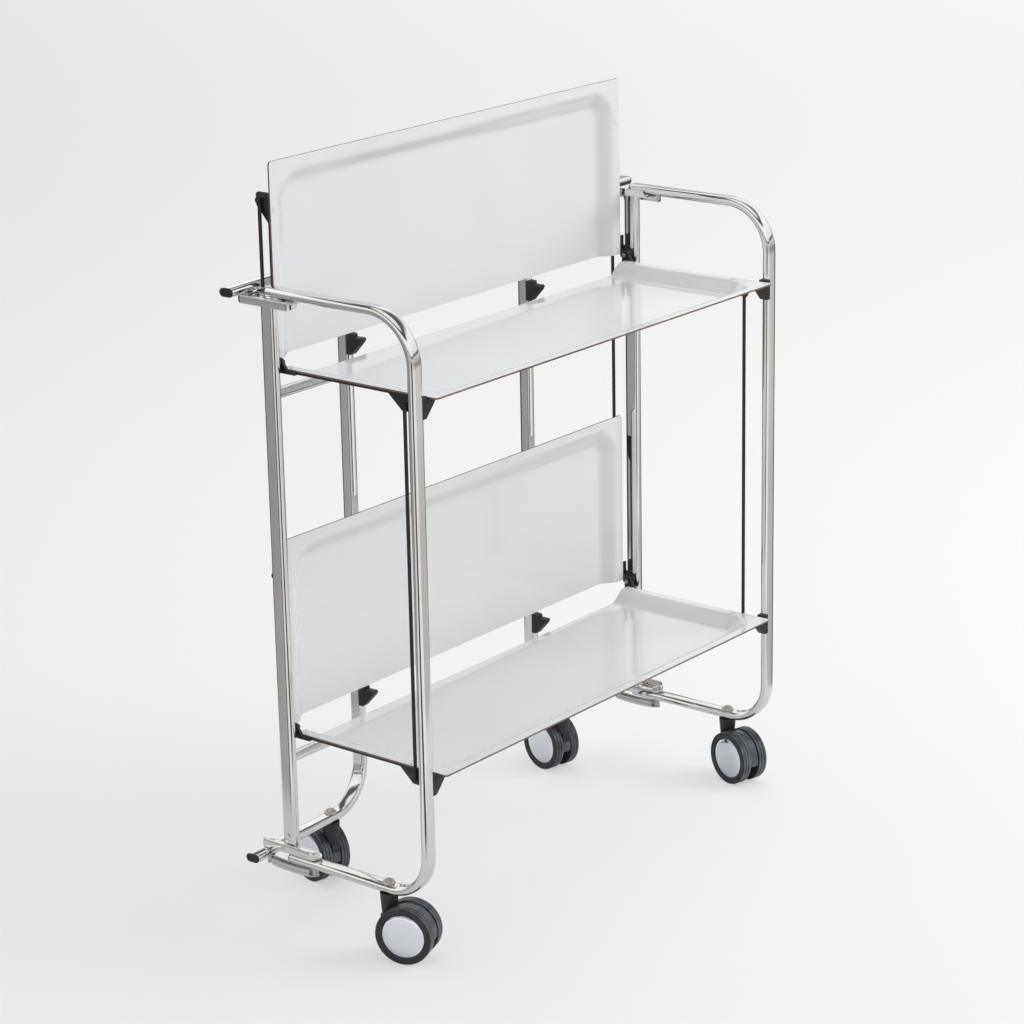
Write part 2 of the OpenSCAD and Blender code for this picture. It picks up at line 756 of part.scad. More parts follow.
module front_left_caster_stem() { front_left_caster() caster_stem(); }
module front_left_caster_housing() { front_left_caster() caster_housing(); }
module front_left_caster_axle() { front_left_caster() caster_axle(); }
module front_left_caster_tyres() { front_left_caster() caster_tyres(); }
module front_left_caster_cores() { front_left_caster() caster_cores(); }
module front_left_caster_covers() { front_left_caster() caster_covers(); }
module front_right_caster_stem() { front_right_caster() caster_stem(); }
module front_right_caster_housing() { front_right_caster() caster_housing(); }
module front_right_caster_axle() { front_right_caster() caster_axle(); }
module front_right_caster_tyres() { front_right_caster() caster_tyres(); }
module front_right_caster_cores() { front_right_caster() caster_cores(); }
module front_right_caster_covers() { front_right_caster() caster_covers(); }
module rear_left_caster_stem() { rear_left_caster() caster_stem(); }
module rear_left_caster_housing() { rear_left_caster() caster_housing(); }
module rear_left_caster_axle() { rear_left_caster() caster_axle(); }
module rear_left_caster_tyres() { rear_left_caster() caster_tyres(); }
module rear_left_caster_cores() { rear_left_caster() caster_cores(); }
module rear_left_caster_covers() { rear_left_caster() caster_covers(); }
module rear_right_caster_stem() { rear_right_caster() caster_stem(); }
module rear_right_caster_housing() { rear_right_caster() caster_housing(); }
module rear_right_caster_axle() { rear_right_caster() caster_axle(); }
module rear_right_caster_tyres() { rear_right_caster() caster_tyres(); }
module rear_right_caster_cores() { rear_right_caster() caster_cores(); }
module rear_right_caster_covers() { rear_right_caster() caster_covers(); }

left_post();
right_post();
cross_rails();
left_top_bracket();
right_top_bracket();
left_bottom_bracket();
right_bottom_bracket();
pivot_rivets();
hinge_pins();
left_spring();
right_spring();
front_left_frame();
front_right_frame();
rear_left_frame();
rear_right_frame();
front_tube_plugs();
rear_left_tube_plugs();
rear_right_tube_plugs();
front_tray_rests();
rear_left_tray_rests();
rear_right_tray_rests();
front_upper_tray();
front_lower_tray();
rear_upper_tray();
rear_lower_tray();
front_upper_end_brackets();
front_lower_end_brackets();
rear_upper_end_brackets();
rear_lower_end_brackets();
front_upper_tray_rivets();
front_lower_tray_rivets();
rear_tray_rivets();
front_link_rods();
rear_link_rods();
front_left_caster_stem();
front_left_caster_housing();
front_left_caster_axle();
front_left_caster_tyres();
front_left_caster_cores();
front_left_caster_covers();
front_right_caster_stem();
front_right_caster_housing();
front_right_caster_axle();
front_right_caster_tyres();
front_right_caster_cores();
front_right_caster_covers();
rear_left_caster_stem();
rear_left_caster_housing();
rear_left_caster_axle();
rear_left_caster_tyres();
rear_left_caster_cores();
rear_left_caster_covers();
rear_right_caster_stem();
rear_right_caster_housing();
rear_right_caster_axle();
rear_right_caster_tyres();
rear_right_caster_cores();
rear_right_caster_covers();
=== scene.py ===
"""Looks of the folding room service table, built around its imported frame.

Every new piece is modelled in a small frame of its own, in metres, and its mesh is then
put in place, so that each finished object sits at the origin of the row frame.
"""

import logging
import math
from collections.abc import Callable, Iterable, Sequence
from dataclasses import dataclass
from enum import Enum

import bmesh
import bpy
from mathutils import Matrix, Vector
from mathutils.kdtree import KDTree


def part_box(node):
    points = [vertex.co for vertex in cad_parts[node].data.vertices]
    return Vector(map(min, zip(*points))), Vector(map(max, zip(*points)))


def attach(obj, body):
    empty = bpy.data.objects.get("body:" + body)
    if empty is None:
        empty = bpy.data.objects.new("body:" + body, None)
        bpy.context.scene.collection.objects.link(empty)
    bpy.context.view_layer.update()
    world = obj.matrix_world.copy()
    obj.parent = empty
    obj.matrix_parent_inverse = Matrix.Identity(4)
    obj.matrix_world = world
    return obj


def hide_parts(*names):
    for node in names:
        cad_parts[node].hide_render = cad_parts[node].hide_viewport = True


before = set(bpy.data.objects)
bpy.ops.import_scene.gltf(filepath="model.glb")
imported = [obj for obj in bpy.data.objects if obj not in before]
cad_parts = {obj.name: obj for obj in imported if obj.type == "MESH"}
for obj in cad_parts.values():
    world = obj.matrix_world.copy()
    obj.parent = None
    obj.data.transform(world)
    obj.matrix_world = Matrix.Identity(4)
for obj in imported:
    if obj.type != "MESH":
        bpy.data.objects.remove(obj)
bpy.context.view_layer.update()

LOG = logging.getLogger("table")
MM = 0.001
TOUCH = 1e-7  # metres within which a point counts as lying on an axis or a plane
CORNERS = ("front_left", "front_right", "rear_left", "rear_right")
Point = tuple[float, float]
Vec3 = tuple[float, float, float]


class Slot(Enum):
    """Material slots of the record."""

    CHROME = "chrome"
    COVER = "polished_cover"
    STEEL = "plain_steel"
    SPRING = "spring_steel"
    LAMINATE = "white_laminate"
    WHITE = "white_paint"
    PAINT = "black_paint"
    PLASTIC = "black_plastic"
    MOULDED = "caster_plastic"
    RUBBER = "tyre_rubber"


class Side(Enum):
    """Left and right halves, with the sign of their X."""

    LEFT = -1
    RIGHT = 1

    @property
    def word(self) -> str:
        """The side's name in piece names."""
        return self.name.lower()

    @property
    def flip(self) -> Matrix:
        """From the right side's shape to this side's."""
        return Matrix.Diagonal((float(self.value), 1.0, 1.0, 1.0))


class Kind(Enum):
    """Mesh elements that a selection may hold."""

    VERT = "verts"
    EDGE = "edges"


# ---------------------------------------------------------------- shader graphs


class Signal:
    """A socket on which Python operators add Math nodes."""

    def __init__(self, graph: "Graph", socket: bpy.types.NodeSocket) -> None:
        """Keep the output socket and the graph that new nodes go into."""
        self.graph = graph
        self.socket = socket

    def maths(self, operation: str, *operands: "Signal | float", clamp: bool = False) -> "Signal":
        """Add one Math node on the operands, its result held between 0 and 1 if clamped."""
        settings = {"operation": operation, "use_clamp": clamp}
        return self.graph.node("ShaderNodeMath", settings, dict(enumerate(operands)))

    def __add__(self, other: "Signal | float") -> "Signal":
        """Sum with a value."""
        return self.maths("ADD", self, other)

    def __radd__(self, other: float) -> "Signal":
        """Sum with a number on the left."""
        return self.maths("ADD", other, self)

    def __sub__(self, other: "Signal | float") -> "Signal":
        """Difference from a value."""
        return self.maths("SUBTRACT", self, other)

    def __rsub__(self, other: float) -> "Signal":
        """Difference from a number on the left."""
        return self.maths("SUBTRACT", other, self)

    def __mul__(self, other: "Signal | float") -> "Signal":
        """Product with a value."""
        return self.maths("MULTIPLY", self, other)

    def __rmul__(self, other: float) -> "Signal":
        """Product with a number on the left."""
        return self.maths("MULTIPLY", other, self)

    def mask(self, edge: float, softness: float) -> "Signal":
        """A mask that rises from 0 at an edge to 1 over a range of values."""
        return self.maths("MULTIPLY", self - edge, 1.0 / softness, clamp=True)


class Graph:
    """The nodes of one material or world."""

    def __init__(self, name: str, kind: str = "materials") -> None:
        """Make an empty material or world.

        Args:
            name: its name.
            kind: "materials" or "worlds".
        """
        self.material = getattr(bpy.data, kind).new(name)
        self.material.use_nodes = True
        self.tree = self.material.node_tree
        self.tree.nodes.clear()

    def node(
        self,
        kind: str,
        settings: dict[str, object] | None = None,
        inputs: dict[int | str, object] | None = None,
        output: int | str = 0,
    ) -> Signal:
        """Add a node.

        Args:
            kind: the node's type.
            settings: its properties, set before its sockets.
            inputs: values or signals for its sockets.
            output: the output to hand back.

        Returns:
            The chosen output.
        """
        made = self.tree.nodes.new(kind)
        for key, value in (settings or {}).items():
            setattr(made, key, value)
        for key, value in (inputs or {}).items():
            if isinstance(value, Signal):
                self.tree.links.new(value.socket, made.inputs[key])
            else:
                made.inputs[key].default_value = value
        return Signal(self, made.outputs[output])

    def place(self, scale: Vec3 = (1.0, 1.0, 1.0)) -> Signal:
        """Object coordinates, stretched along each axis."""
        seat = self.node("ShaderNodeTexCoord", output="Object")
        return self.node("ShaderNodeMapping", None, {"Vector": seat, "Scale": scale})

    def noise(self, scale: float, detail: float, stretch: Vec3 = (1.0, 1.0, 1.0)) -> Signal:
        """Noise between 0 and 1, with as many octaves as its detail."""
        inputs = {"Vector": self.place(stretch), "Scale": scale, "Detail": detail}
        return self.node("ShaderNodeTexNoise", None, inputs, "Fac")

    def blend(self, factor: Signal, low: Vec3 | Signal, high: Vec3 | Signal) -> Signal:
        """Mix of two colours.

        Args:
            factor: share of the second colour.
            low: the colour at 0.
            high: the colour at 1.

        Returns:
            The mixed colour.
        """
        ends = [end if isinstance(end, Signal) else (*end, 1.0) for end in (low, high)]
        inputs = {0: factor, 6: ends[0], 7: ends[1]}
        return self.node("ShaderNodeMix", {"data_type": "RGBA"}, inputs, 2)

    def ramp(self, factor: Signal, stops: Iterable[tuple[float, float]], tint: Vec3) -> Signal:
        """Tinted greys along a value.

        Args:
            factor: the value, 0 to 1.
            stops: places with the grey at each.
            tint: colour that every grey is multiplied by.

        Returns:
            The colour.
        """
        made = self.tree.nodes.new("ShaderNodeValToRGB")
        elements = made.color_ramp.elements
        for index, (place, grey) in enumerate(stops):
            element = elements[index] if index < 2 else elements.new(place)
            element.position = place
            element.color = (*(grey * share for share in tint), 1.0)
        self.tree.links.new(factor.socket, made.inputs[0])
        return Signal(self, made.outputs[0])

    def ray(self, kind: str) -> Signal:
        """Whether the ray is of a kind, such as "Is Glossy Ray"."""
        return self.node("ShaderNodeLightPath", output=kind)

    def along(self, direction: Vec3) -> Signal:
        """How far a point lies along a direction, in metres from the origin."""
        inputs = {0: self.place(), 1: direction}
        return self.node("ShaderNodeVectorMath", {"operation": "DOT_PRODUCT"}, inputs, "Value")

    def bump(self, height: Signal, distance: float) -> Signal:
        """A normal from a height, of which 1 stands for a distance in metres."""
        return self.node("ShaderNodeBump", None, {"Height": height, "Distance": distance})

    def shader(self, inputs: dict[str, object]) -> bpy.types.Material:
        """Close the material with one Principled shader.

        Args:
            inputs: values or signals for its sockets.

        Returns:
            The material.
        """
        surface = self.node("ShaderNodeBsdfPrincipled", None, inputs)
        end = self.tree.nodes.new("ShaderNodeOutputMaterial")
        self.tree.links.new(surface.socket, end.inputs["Surface"])
        return self.material


# ---------------------------------------------------------------- finishes


@dataclass(frozen=True)
class Plating:
    """Bright plated steel with faint wipe marks, fine hairlines and small dull specks."""

    name: str
    colour: Vec3 = (0.80, 0.80, 0.80)
    dull: Vec3 = (0.70, 0.69, 0.68)
    gloss: float = 0.06
    smear: float = 0.06
    grain: Vec3 = (60.0, 60.0, 1.5)
    depth: float = 0.000003
    haze_scale: float = 9.0
    hair_scale: float = 14.0
    speck_scale: float = 420.0
    speck_dull: float = 0.12

    def make(self) -> bpy.types.Material:
        """Build the material."""
        graph = Graph(self.name)
        haze = graph.noise(self.haze_scale, 4.0)
        hairs = graph.noise(self.hair_scale, 2.0, self.grain)
        specks = graph.noise(self.speck_scale, 1.0).mask(0.72, 0.06)
        roughness = self.gloss + self.smear * haze.mask(0.48, 0.4) + self.speck_dull * specks
        return graph.shader(
            {
                "Base Color": graph.blend(haze.mask(0.35, 0.5), self.colour, self.dull),
                "Metallic": 1.0,
                "Roughness": roughness,
                "Normal": graph.bump(hairs, self.depth),
            }
        )


@dataclass(frozen=True)
class Laminate:
    """Glossy white laminate with faint clouds and wipe marks."""

    name: str = "white laminate"
    colour: Vec3 = (0.775, 0.785, 0.80)
    worn: Vec3 = (0.745, 0.75, 0.76)
    gloss: float = 0.09
    uneven: float = 0.04
    cloud_scale: float = 6.0
    wipe_scale: float = 3.0
    wipe_stretch: Vec3 = (3.0, 40.0, 40.0)

    def make(self) -> bpy.types.Material:
        """Build the material."""
        graph = Graph(self.name)
        cloud = graph.noise(self.cloud_scale, 4.0)
        wipes = graph.noise(self.wipe_scale, 3.0, self.wipe_stretch).mask(0.62, 0.1)
        return graph.shader(
            {
                "Base Color": graph.blend(cloud.mask(0.4, 0.4), self.colour, self.worn),
                "Roughness": self.gloss + self.uneven * cloud + self.uneven * wipes,
                "Specular IOR Level": 0.55,
                "Coat Weight": 0.35,
                "Coat Roughness": 0.03,
            }
        )


@dataclass(frozen=True)
class CutEdge:
    """Brown core of the laminate at its cut edge, in thin layers."""

    name: str = "laminate edge"
    core: Vec3 = (0.115, 0.072, 0.052)
    layer: Vec3 = (0.25, 0.18, 0.14)
    layers: Vec3 = (4.0, 4.0, 1500.0)
    fleck_scale: float = 600.0
    depth: float = 0.00005

    def make(self) -> bpy.types.Material:
        """Build the material."""
        graph = Graph(self.name)
        layers = graph.noise(1.0, 2.0, self.layers)
        fleck = graph.noise(self.fleck_scale, 2.0)
        return graph.shader(
            {
                "Base Color": graph.blend(layers.mask(0.4, 0.25), self.core, self.layer),
                "Roughness": 0.45 + 0.2 * fleck,
                "Normal": graph.bump(fleck, self.depth),
            }
        )


@dataclass(frozen=True)
class Grained:
    """Paint or plastic with a fine grain and paler scuffs."""

    name: str
    colour: Vec3
    scuffed: Vec3
    roughness: float = 0.42
    grain: float = 1500.0
    depth: float = 0.00004
    patches: float = 55.0
    detail: float = 4.0
    scuffs: float = 0.66
    fade: float = 0.12
    patch_rough: float = 0.12
    scuff_rough: float = 0.1

    def make(self) -> bpy.types.Material:
        """Build the material."""
        graph = Graph(self.name)
        grain = graph.noise(self.grain, 2.0)
        patch = graph.noise(self.patches, self.detail)
        scuff = patch.mask(self.scuffs, self.fade)
        return graph.shader(
            {
                "Base Color": graph.blend(scuff, self.colour, self.scuffed),
                "Roughness": self.roughness + self.patch_rough * patch + self.scuff_rough * scuff,
                "Normal": graph.bump(grain, self.depth),
            }
        )


@dataclass(frozen=True)
class Rubber(Grained):
    """Dark grey tyre rubber, scuffed paler in soft patches."""

    name: str = "tyre rubber"
    colour: Vec3 = (0.016, 0.018, 0.021)
    scuffed: Vec3 = (0.036, 0.040, 0.046)
    grain: float = 900.0
    depth: float = 0.00006
    patches: float = 70.0
    detail: float = 5.0
    scuffs: float = 0.44
    fade: float = 0.35
    patch_rough: float = 0.2
    scuff_rough: float = 0.0


class Paintbox:
    """The table's materials by record slot."""

    def __init__(self) -> None:
        """Build one material for each slot, and those of edges, treads, buttons and pins."""
        black, plastic, moulded = (0.012, 0.012, 0.013), (0.014, 0.014, 0.015), (0.018, 0.019, 0.021)
        white, grey = (0.78, 0.79, 0.80), (0.7, 0.7, 0.7)
        finishes = {
            Slot.CHROME: Plating("chrome plate"),
            Slot.COVER: Plating(
                "polished cover", (0.91, 0.95, 1.0), (0.82, 0.86, 0.92), 0.07, 0.08, (25.0, 25.0, 25.0)
            ),
            Slot.STEEL: Plating("bright zinc", (0.56, 0.55, 0.53), (0.46, 0.45, 0.43), 0.22, 0.15),
            Slot.SPRING: Plating("spring wire", (0.72, 0.73, 0.74), (0.60, 0.61, 0.62), 0.24, 0.12),
            Slot.LAMINATE: Laminate(),
            Slot.WHITE: Grained("white paint", white, grey, 0.25, 300.0, 0.00002),
            Slot.PAINT: Grained("satin black paint", black, (0.04, 0.04, 0.042), 0.34, 900.0),
            Slot.PLASTIC: Grained("black plastic", plastic, (0.045, 0.046, 0.05)),
            Slot.MOULDED: Grained("moulded plastic", moulded, (0.06, 0.062, 0.066), 0.38),
            Slot.RUBBER: Rubber(),
        }
        self.materials = {slot: finish.make() for slot, finish in finishes.items()}
        self.edge = CutEdge().make()
        # The tread is the tyre's rubber painted a paler slate: painted sheen on the faces that look
        # outwards.
        self.tread = Rubber("tyre tread", (0.060, 0.069, 0.082), (0.15, 0.165, 0.188), 0.2).make()
        self.button = Plating("button nickel", (0.56, 0.53, 0.49), (0.44, 0.42, 0.39), 0.36).make()
        self.pin = Plating("dark pin", (0.30, 0.31, 0.32), (0.2, 0.2, 0.2), 0.25).make()

    def dress(self, piece: bpy.types.Object, slot: Slot) -> None:
        """Give a piece a slot's material and no other."""
        piece.data.materials.clear()
        piece.data.materials.append(self.materials[slot])


# ---------------------------------------------------------------- outlines


def arc(centre: Point, radius: float, start: float, end: float, steps: int) -> list[Point]:
    """Points along an arc between two angles in degrees, both ends included."""
    turns = [math.radians(start + (end - start) * i / steps) for i in range(steps + 1)]
    return [(centre[0] + radius * math.cos(a), centre[1] + radius * math.sin(a)) for a in turns]


def oval(length: float, width: float, steps: int = 10) -> list[Point]:
    """A flat-sided oval with its long side along X.

    Args:
        length: size along X.
        width: size along Y.
        steps: segments of each round end.

    Returns:
        Its outline, anticlockwise.
    """
    shift = (length - width) / 2
    ends = arc((shift, 0.0), width / 2, -90, 90, steps)
    return ends + arc((-shift, 0.0), width / 2, 90, 270, steps)


def rounded(half_x: float, half_y: float, radius: float, steps: int = 12, guard: float = 1.5) -> list[Point]:
    """A rectangle with round corners, and a point on each straight side near both its ends.

    Args:
        half_x: half its size along X.
        half_y: half its size along Y.
        radius: the corners' radius.
        steps: segments of each corner.
        guard: how far from the corner that point lies.

    Returns:
        Its outline, anticlockwise.
    """
    x, y = half_x - radius, half_y - radius
    outline: list[Point] = []
    for sx, sy, start in ((1, 1, 0), (-1, 1, 90), (-1, -1, 180), (1, -1, 270)):
        corner = arc((sx * x, sy * y), radius, start, start + 90, steps)
        (first_x, first_y), (last_x, last_y) = corner[0], corner[-1]
        c, d = math.cos(math.radians(start)), math.sin(math.radians(start))
        outline.append((first_x + guard * d, first_y - guard * c))
        outline += corner
        outline.append((last_x - guard * c, last_y - guard * d))
    return outline


def level(outline: Iterable[Point], height: float) -> list[Vector]:
    """An outline in X and Y, laid at a height."""
    return [Vector((x, y, height)) for x, y in outline]


# ---------------------------------------------------------------- bench work


def deselect() -> None:
    """Leave object mode with nothing selected."""
    if bpy.context.object and bpy.context.object.mode != "OBJECT":
        bpy.ops.object.mode_set(mode="OBJECT")
    bpy.ops.object.select_all(action="DESELECT")


class Work:
    """One new mesh on the bench, shaped with Blender's modelling operators."""

    def __init__(self, piece: bpy.types.Object) -> None:
        """Take up an object."""
        self.piece = piece

    @classmethod
    def ring(cls, name: str, loop: Sequence[Vector]) -> "Work":
        """Start from a circle whose vertices are moved onto a closed loop.

        Args:
            name: the piece's name.
            loop: the closed loop of points.

        Returns:
            The work, in edit mode, with the loop selected.
        """
        deselect()
        bpy.ops.mesh.primitive_circle_add(vertices=len(loop), radius=1.0, fill_type="NOTHING")
        piece = bpy.context.object
        piece.name = piece.data.name = name
        for vertex, place in zip(piece.data.vertices, loop, strict=True):
            vertex.co = place
        bpy.ops.object.mode_set(mode="EDIT")
        bpy.ops.mesh.select_mode(type="VERT")
        bpy.ops.mesh.select_all(action="SELECT")
        return cls(piece)

    @classmethod
    def loft(cls, name: str, loops: Sequence[Sequence[Vector]], closed: bool = True) -> "Work":
        """Extrude a loop through a row of loops that have as many points.

        Args:
            name: the piece's name.
            loops: the loops, in order.
            closed: whether both ends are filled.

        Returns:
            The work, in object mode.
        """
        work = cls.ring(name, loops[0])
        for before, after in zip(loops, loops[1:]):
            bpy.ops.mesh.extrude_region_move()
            work.shift(before, after)
        bpy.ops.mesh.edge_face_add()
        if closed:
            work.pick_loop(loops[0])
            bpy.ops.mesh.edge_face_add()
        work.merge()
        return work

    @classmethod
    def lathe(cls, name: str, profile: Sequence[Point], steps: int = 72) -> "Work":
        """Spin a closed profile about Z.

        Args:
            name: the piece's name.
            profile: points as radius and height, in millimetres.
            steps: segments of the full turn.

        Returns:
            The work, in object mode.
        """
        work = cls.ring(name, [Vector((r * MM, 0.0, h * MM)) for r, h in profile])
        bpy.ops.mesh.select_mode(type="EDGE")
        work.pick(Kind.EDGE, lambda edge: all(abs(v.co.x) < TOUCH for v in edge.verts))
        bpy.ops.mesh.delete(type="EDGE")
        bpy.ops.mesh.select_all(action="SELECT")
        bpy.ops.mesh.spin(steps=steps, angle=math.tau, center=(0, 0, 0), axis=(0, 0, 1))
        work.merge()
        return work

    @classmethod
    def node_copy(cls, name: str, node: str) -> "Work":
        """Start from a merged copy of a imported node's mesh, with flat faces joined up.

        Args:
            name: the piece's name.
            node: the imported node.

        Returns:
            The work, in object mode.
        """
        piece = bpy.data.objects.new(name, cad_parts[node].data.copy())
        piece.data.name = name
        piece.data.materials.clear()
        bpy.context.scene.collection.objects.link(piece)
        work = cls(piece)
        work.edit()
        bpy.ops.mesh.remove_doubles(threshold=0.01 * MM)
        bpy.ops.mesh.dissolve_limited(angle_limit=math.radians(1.0))
        bpy.ops.object.mode_set(mode="OBJECT")
        return work

    def pick(self, kind: Kind, test: Callable[[object], bool]) -> None:
        """Select the elements that pass a test, and nothing else.

        Args:
            kind: which elements are tested.
            test: takes a bmesh element.
        """
        bpy.ops.mesh.select_mode(type=kind.name)
        bpy.ops.mesh.select_all(action="DESELECT")
        mesh = bmesh.from_edit_mesh(self.piece.data)
        for element in getattr(mesh, kind.value):
            if test(element):
                element.select_set(True)
        mesh.select_flush_mode()
        bmesh.update_edit_mesh(self.piece.data)

    def pick_loop(self, loop: Sequence[Vector]) -> None:
        """Select the vertices that lie on a loop's points."""
        keys = {tuple(round(c, 6) for c in place) for place in loop}
        self.pick(Kind.VERT, lambda v: tuple(round(c, 6) for c in v.co) in keys)

    def shift(self, before: Sequence[Vector], after: Sequence[Vector]) -> None:
        """Move each selected vertex from its place on one loop to the same place on another."""
        tree = KDTree(len(before))
        for index, place in enumerate(before):
            tree.insert(place, index)
        tree.balance()
        mesh = bmesh.from_edit_mesh(self.piece.data)
        for vertex in mesh.verts:
            if vertex.select:
                vertex.co = after[tree.find(vertex.co)[1]]
        bmesh.update_edit_mesh(self.piece.data)

    def merge(self) -> None:
        """Merge doubled points, turn the faces outwards and go back to object mode."""
        bpy.ops.mesh.select_all(action="SELECT")
        bpy.ops.mesh.remove_doubles(threshold=0.001 * MM)
        bpy.ops.mesh.normals_make_consistent(inside=False)
        bpy.ops.object.mode_set(mode="OBJECT")

    def take(self) -> None:
        """Select only this piece, and make it the active one."""
        deselect()
        self.piece.select_set(True)
        bpy.context.view_layer.objects.active = self.piece

    def edit(self) -> None:
        """Go into edit mode with only this piece, all of it selected."""
        self.take()
        bpy.ops.object.mode_set(mode="EDIT")
        bpy.ops.mesh.select_all(action="SELECT")

    def modifier(self, kind: str, **settings: object) -> "Work":
        """Add a modifier and apply it.

        Args:
            kind: the modifier's type.
            settings: its properties.

        Returns:
            The work.
        """
        self.take()
        made = self.piece.modifiers.new(kind.lower(), kind)
        for key, value in settings.items():
            setattr(made, key, value)
        bpy.ops.object.modifier_apply(modifier=made.name)
        return self

    def bevel(self, width: float, angle: float = 40.0) -> "Work":
        """Round the edges sharper than an angle, in degrees, by a width in millimetres."""
        return self.modifier(
            "BEVEL", width=width * MM, segments=2, limit_method="ANGLE", angle_limit=math.radians(angle)
        )

    def cut(self, tool: "Work") -> None:
        """Cut another piece out of this one, and throw it away."""
        self.modifier("BOOLEAN", object=tool.piece, operation="DIFFERENCE", solver="EXACT")
        tool.discard()

    def join(self, others: Sequence["Work"]) -> "Work":
        """Join other pieces into this one.

        Args:
            others: the pieces that join it.

        Returns:
            The work.
        """
        self.take()
        for other in others:
            other.piece.select_set(True)
        bpy.ops.object.join()
        return self

    def copy(self, name: str) -> "Work":
        """A copy with a mesh of its own."""
        piece = self.piece.copy()
        piece.data = self.piece.data.copy()
        piece.name = piece.data.name = name
        bpy.context.scene.collection.objects.link(piece)
        return Work(piece)

    def place(self, matrix: Matrix) -> "Work":
        """Put the mesh in place, the right way out.

        Args:
            matrix: from the piece's own frame to where it goes.

        Returns:
            The work.
        """
        self.piece.data.transform(matrix)
        if matrix.determinant() < 0:
            self.piece.data.flip_normals()
        return self

    def discard(self) -> None:
        """Throw a pattern or a tool away after its use."""
        bpy.data.objects.remove(self.piece)

    def smooth(self, angle: float) -> None:
        """Shade smooth, with edges sharper than an angle in degrees kept sharp."""
        self.take()
        bpy.ops.object.shade_smooth_by_angle(angle=math.radians(angle))


def turn(axis: str, angle: float) -> Matrix:
    """A turn about an axis, in degrees."""
    return Matrix.Rotation(math.radians(angle), 4, axis)


def at(x: float, y: float, z: float = 0.0) -> Matrix:
    """A move, in millimetres."""
    return Matrix.Translation(Vector((x, y, z)) * MM)


MIRROR_X = Matrix.Diagonal((-1.0, 1.0, 1.0, 1.0))
MIRROR_Y = Matrix.Diagonal((1.0, -1.0, 1.0, 1.0))
MIRROR_Z = Matrix.Diagonal((1.0, 1.0, -1.0, 1.0))


@dataclass
class Assembly:
    """What every sub-assembly shares: the paintbox and the way pieces are handed in."""

    paints: Paintbox

    def hand_in(
        self, work: Work, body: str, slot: Slot, replaces: Sequence[str], angle: float = 35.0
    ) -> None:
        """Fasten a finished piece to its body, dressed for its slot if it is still bare.

        Args:
            work: the finished piece, in place.
            body: the body that it rides on.
            slot: its material slot.
            replaces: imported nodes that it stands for.
            angle: edges sharper than this stay sharp, in degrees.
        """
        work.smooth(angle)
        if not work.piece.data.materials:
            self.paints.dress(work.piece, slot)
        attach(work.piece, body)
        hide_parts(*replaces)
        LOG.info("%s: %d faces", work.piece.name, len(work.piece.data.polygons))


@dataclass
class Table:
    """Main places of the table, in millimetres, in its own frame with the posts on Y = 0."""

    post_x: float = 319.0
    pivot_off: float = 33.0
    upper_pin: float = 642.0
    lower_pin: float = 229.0
    top_rail: float = 722.0
    bottom_rail: float = 81.0
    caster_reach: float = 107.5
    left_angle: float = 3.5
    right_angle: float = 0.5
    rear_turn: float = 168.0
    front_left_turn: float = 18.5
    front_right_turn: float = -16.0

    @property
    def home(self) -> Matrix:
        """From the table's frame to the row frame, by the left post's middle."""
        low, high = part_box("left_post")
        return Matrix.Translation(Vector((0.0, (low.y + high.y) / 2, 0.0)))

    @property
    def tiers(self) -> dict[str, float]:
        """Height of each tier's hinge pins."""
        return {"upper": self.upper_pin, "lower": self.lower_pin}

    def front(self, side: Side) -> Matrix:
        """Where a front frame goes."""
        left = self.home @ at(-self.post_x, -self.pivot_off) @ turn("Z", -90) @ MIRROR_Y
        return left if side is Side.LEFT else MIRROR_X @ left

    def rear(self, side: Side) -> Matrix:
        """Where a rear frame goes."""
        angle = self.left_angle if side is Side.LEFT else self.right_angle
        left = self.home @ at(-self.post_x, self.pivot_off) @ turn("Z", angle)
        return left if side is Side.LEFT else MIRROR_X @ left

    def caster(self, corner: str) -> Matrix:
        """Where a caster goes."""
        x, y, reach = self.post_x, self.pivot_off, self.caster_reach
        left, right = math.radians(self.left_angle), math.radians(self.right_angle)
        spots = {
            "front_left": (-x, -y - reach, self.front_left_turn),
            "front_right": (x, -y - reach, self.front_right_turn),
            "rear_left": (reach * math.cos(left) - x, y + reach * math.sin(left), self.rear_turn),
            "rear_right": (x - reach * math.cos(right), y + reach * math.sin(right), self.rear_turn),
        }
        spot_x, spot_y, facing = spots[corner]
        return self.home @ at(spot_x, spot_y) @ turn("Z", facing)


# ---------------------------------------------------------------- sub-assemblies


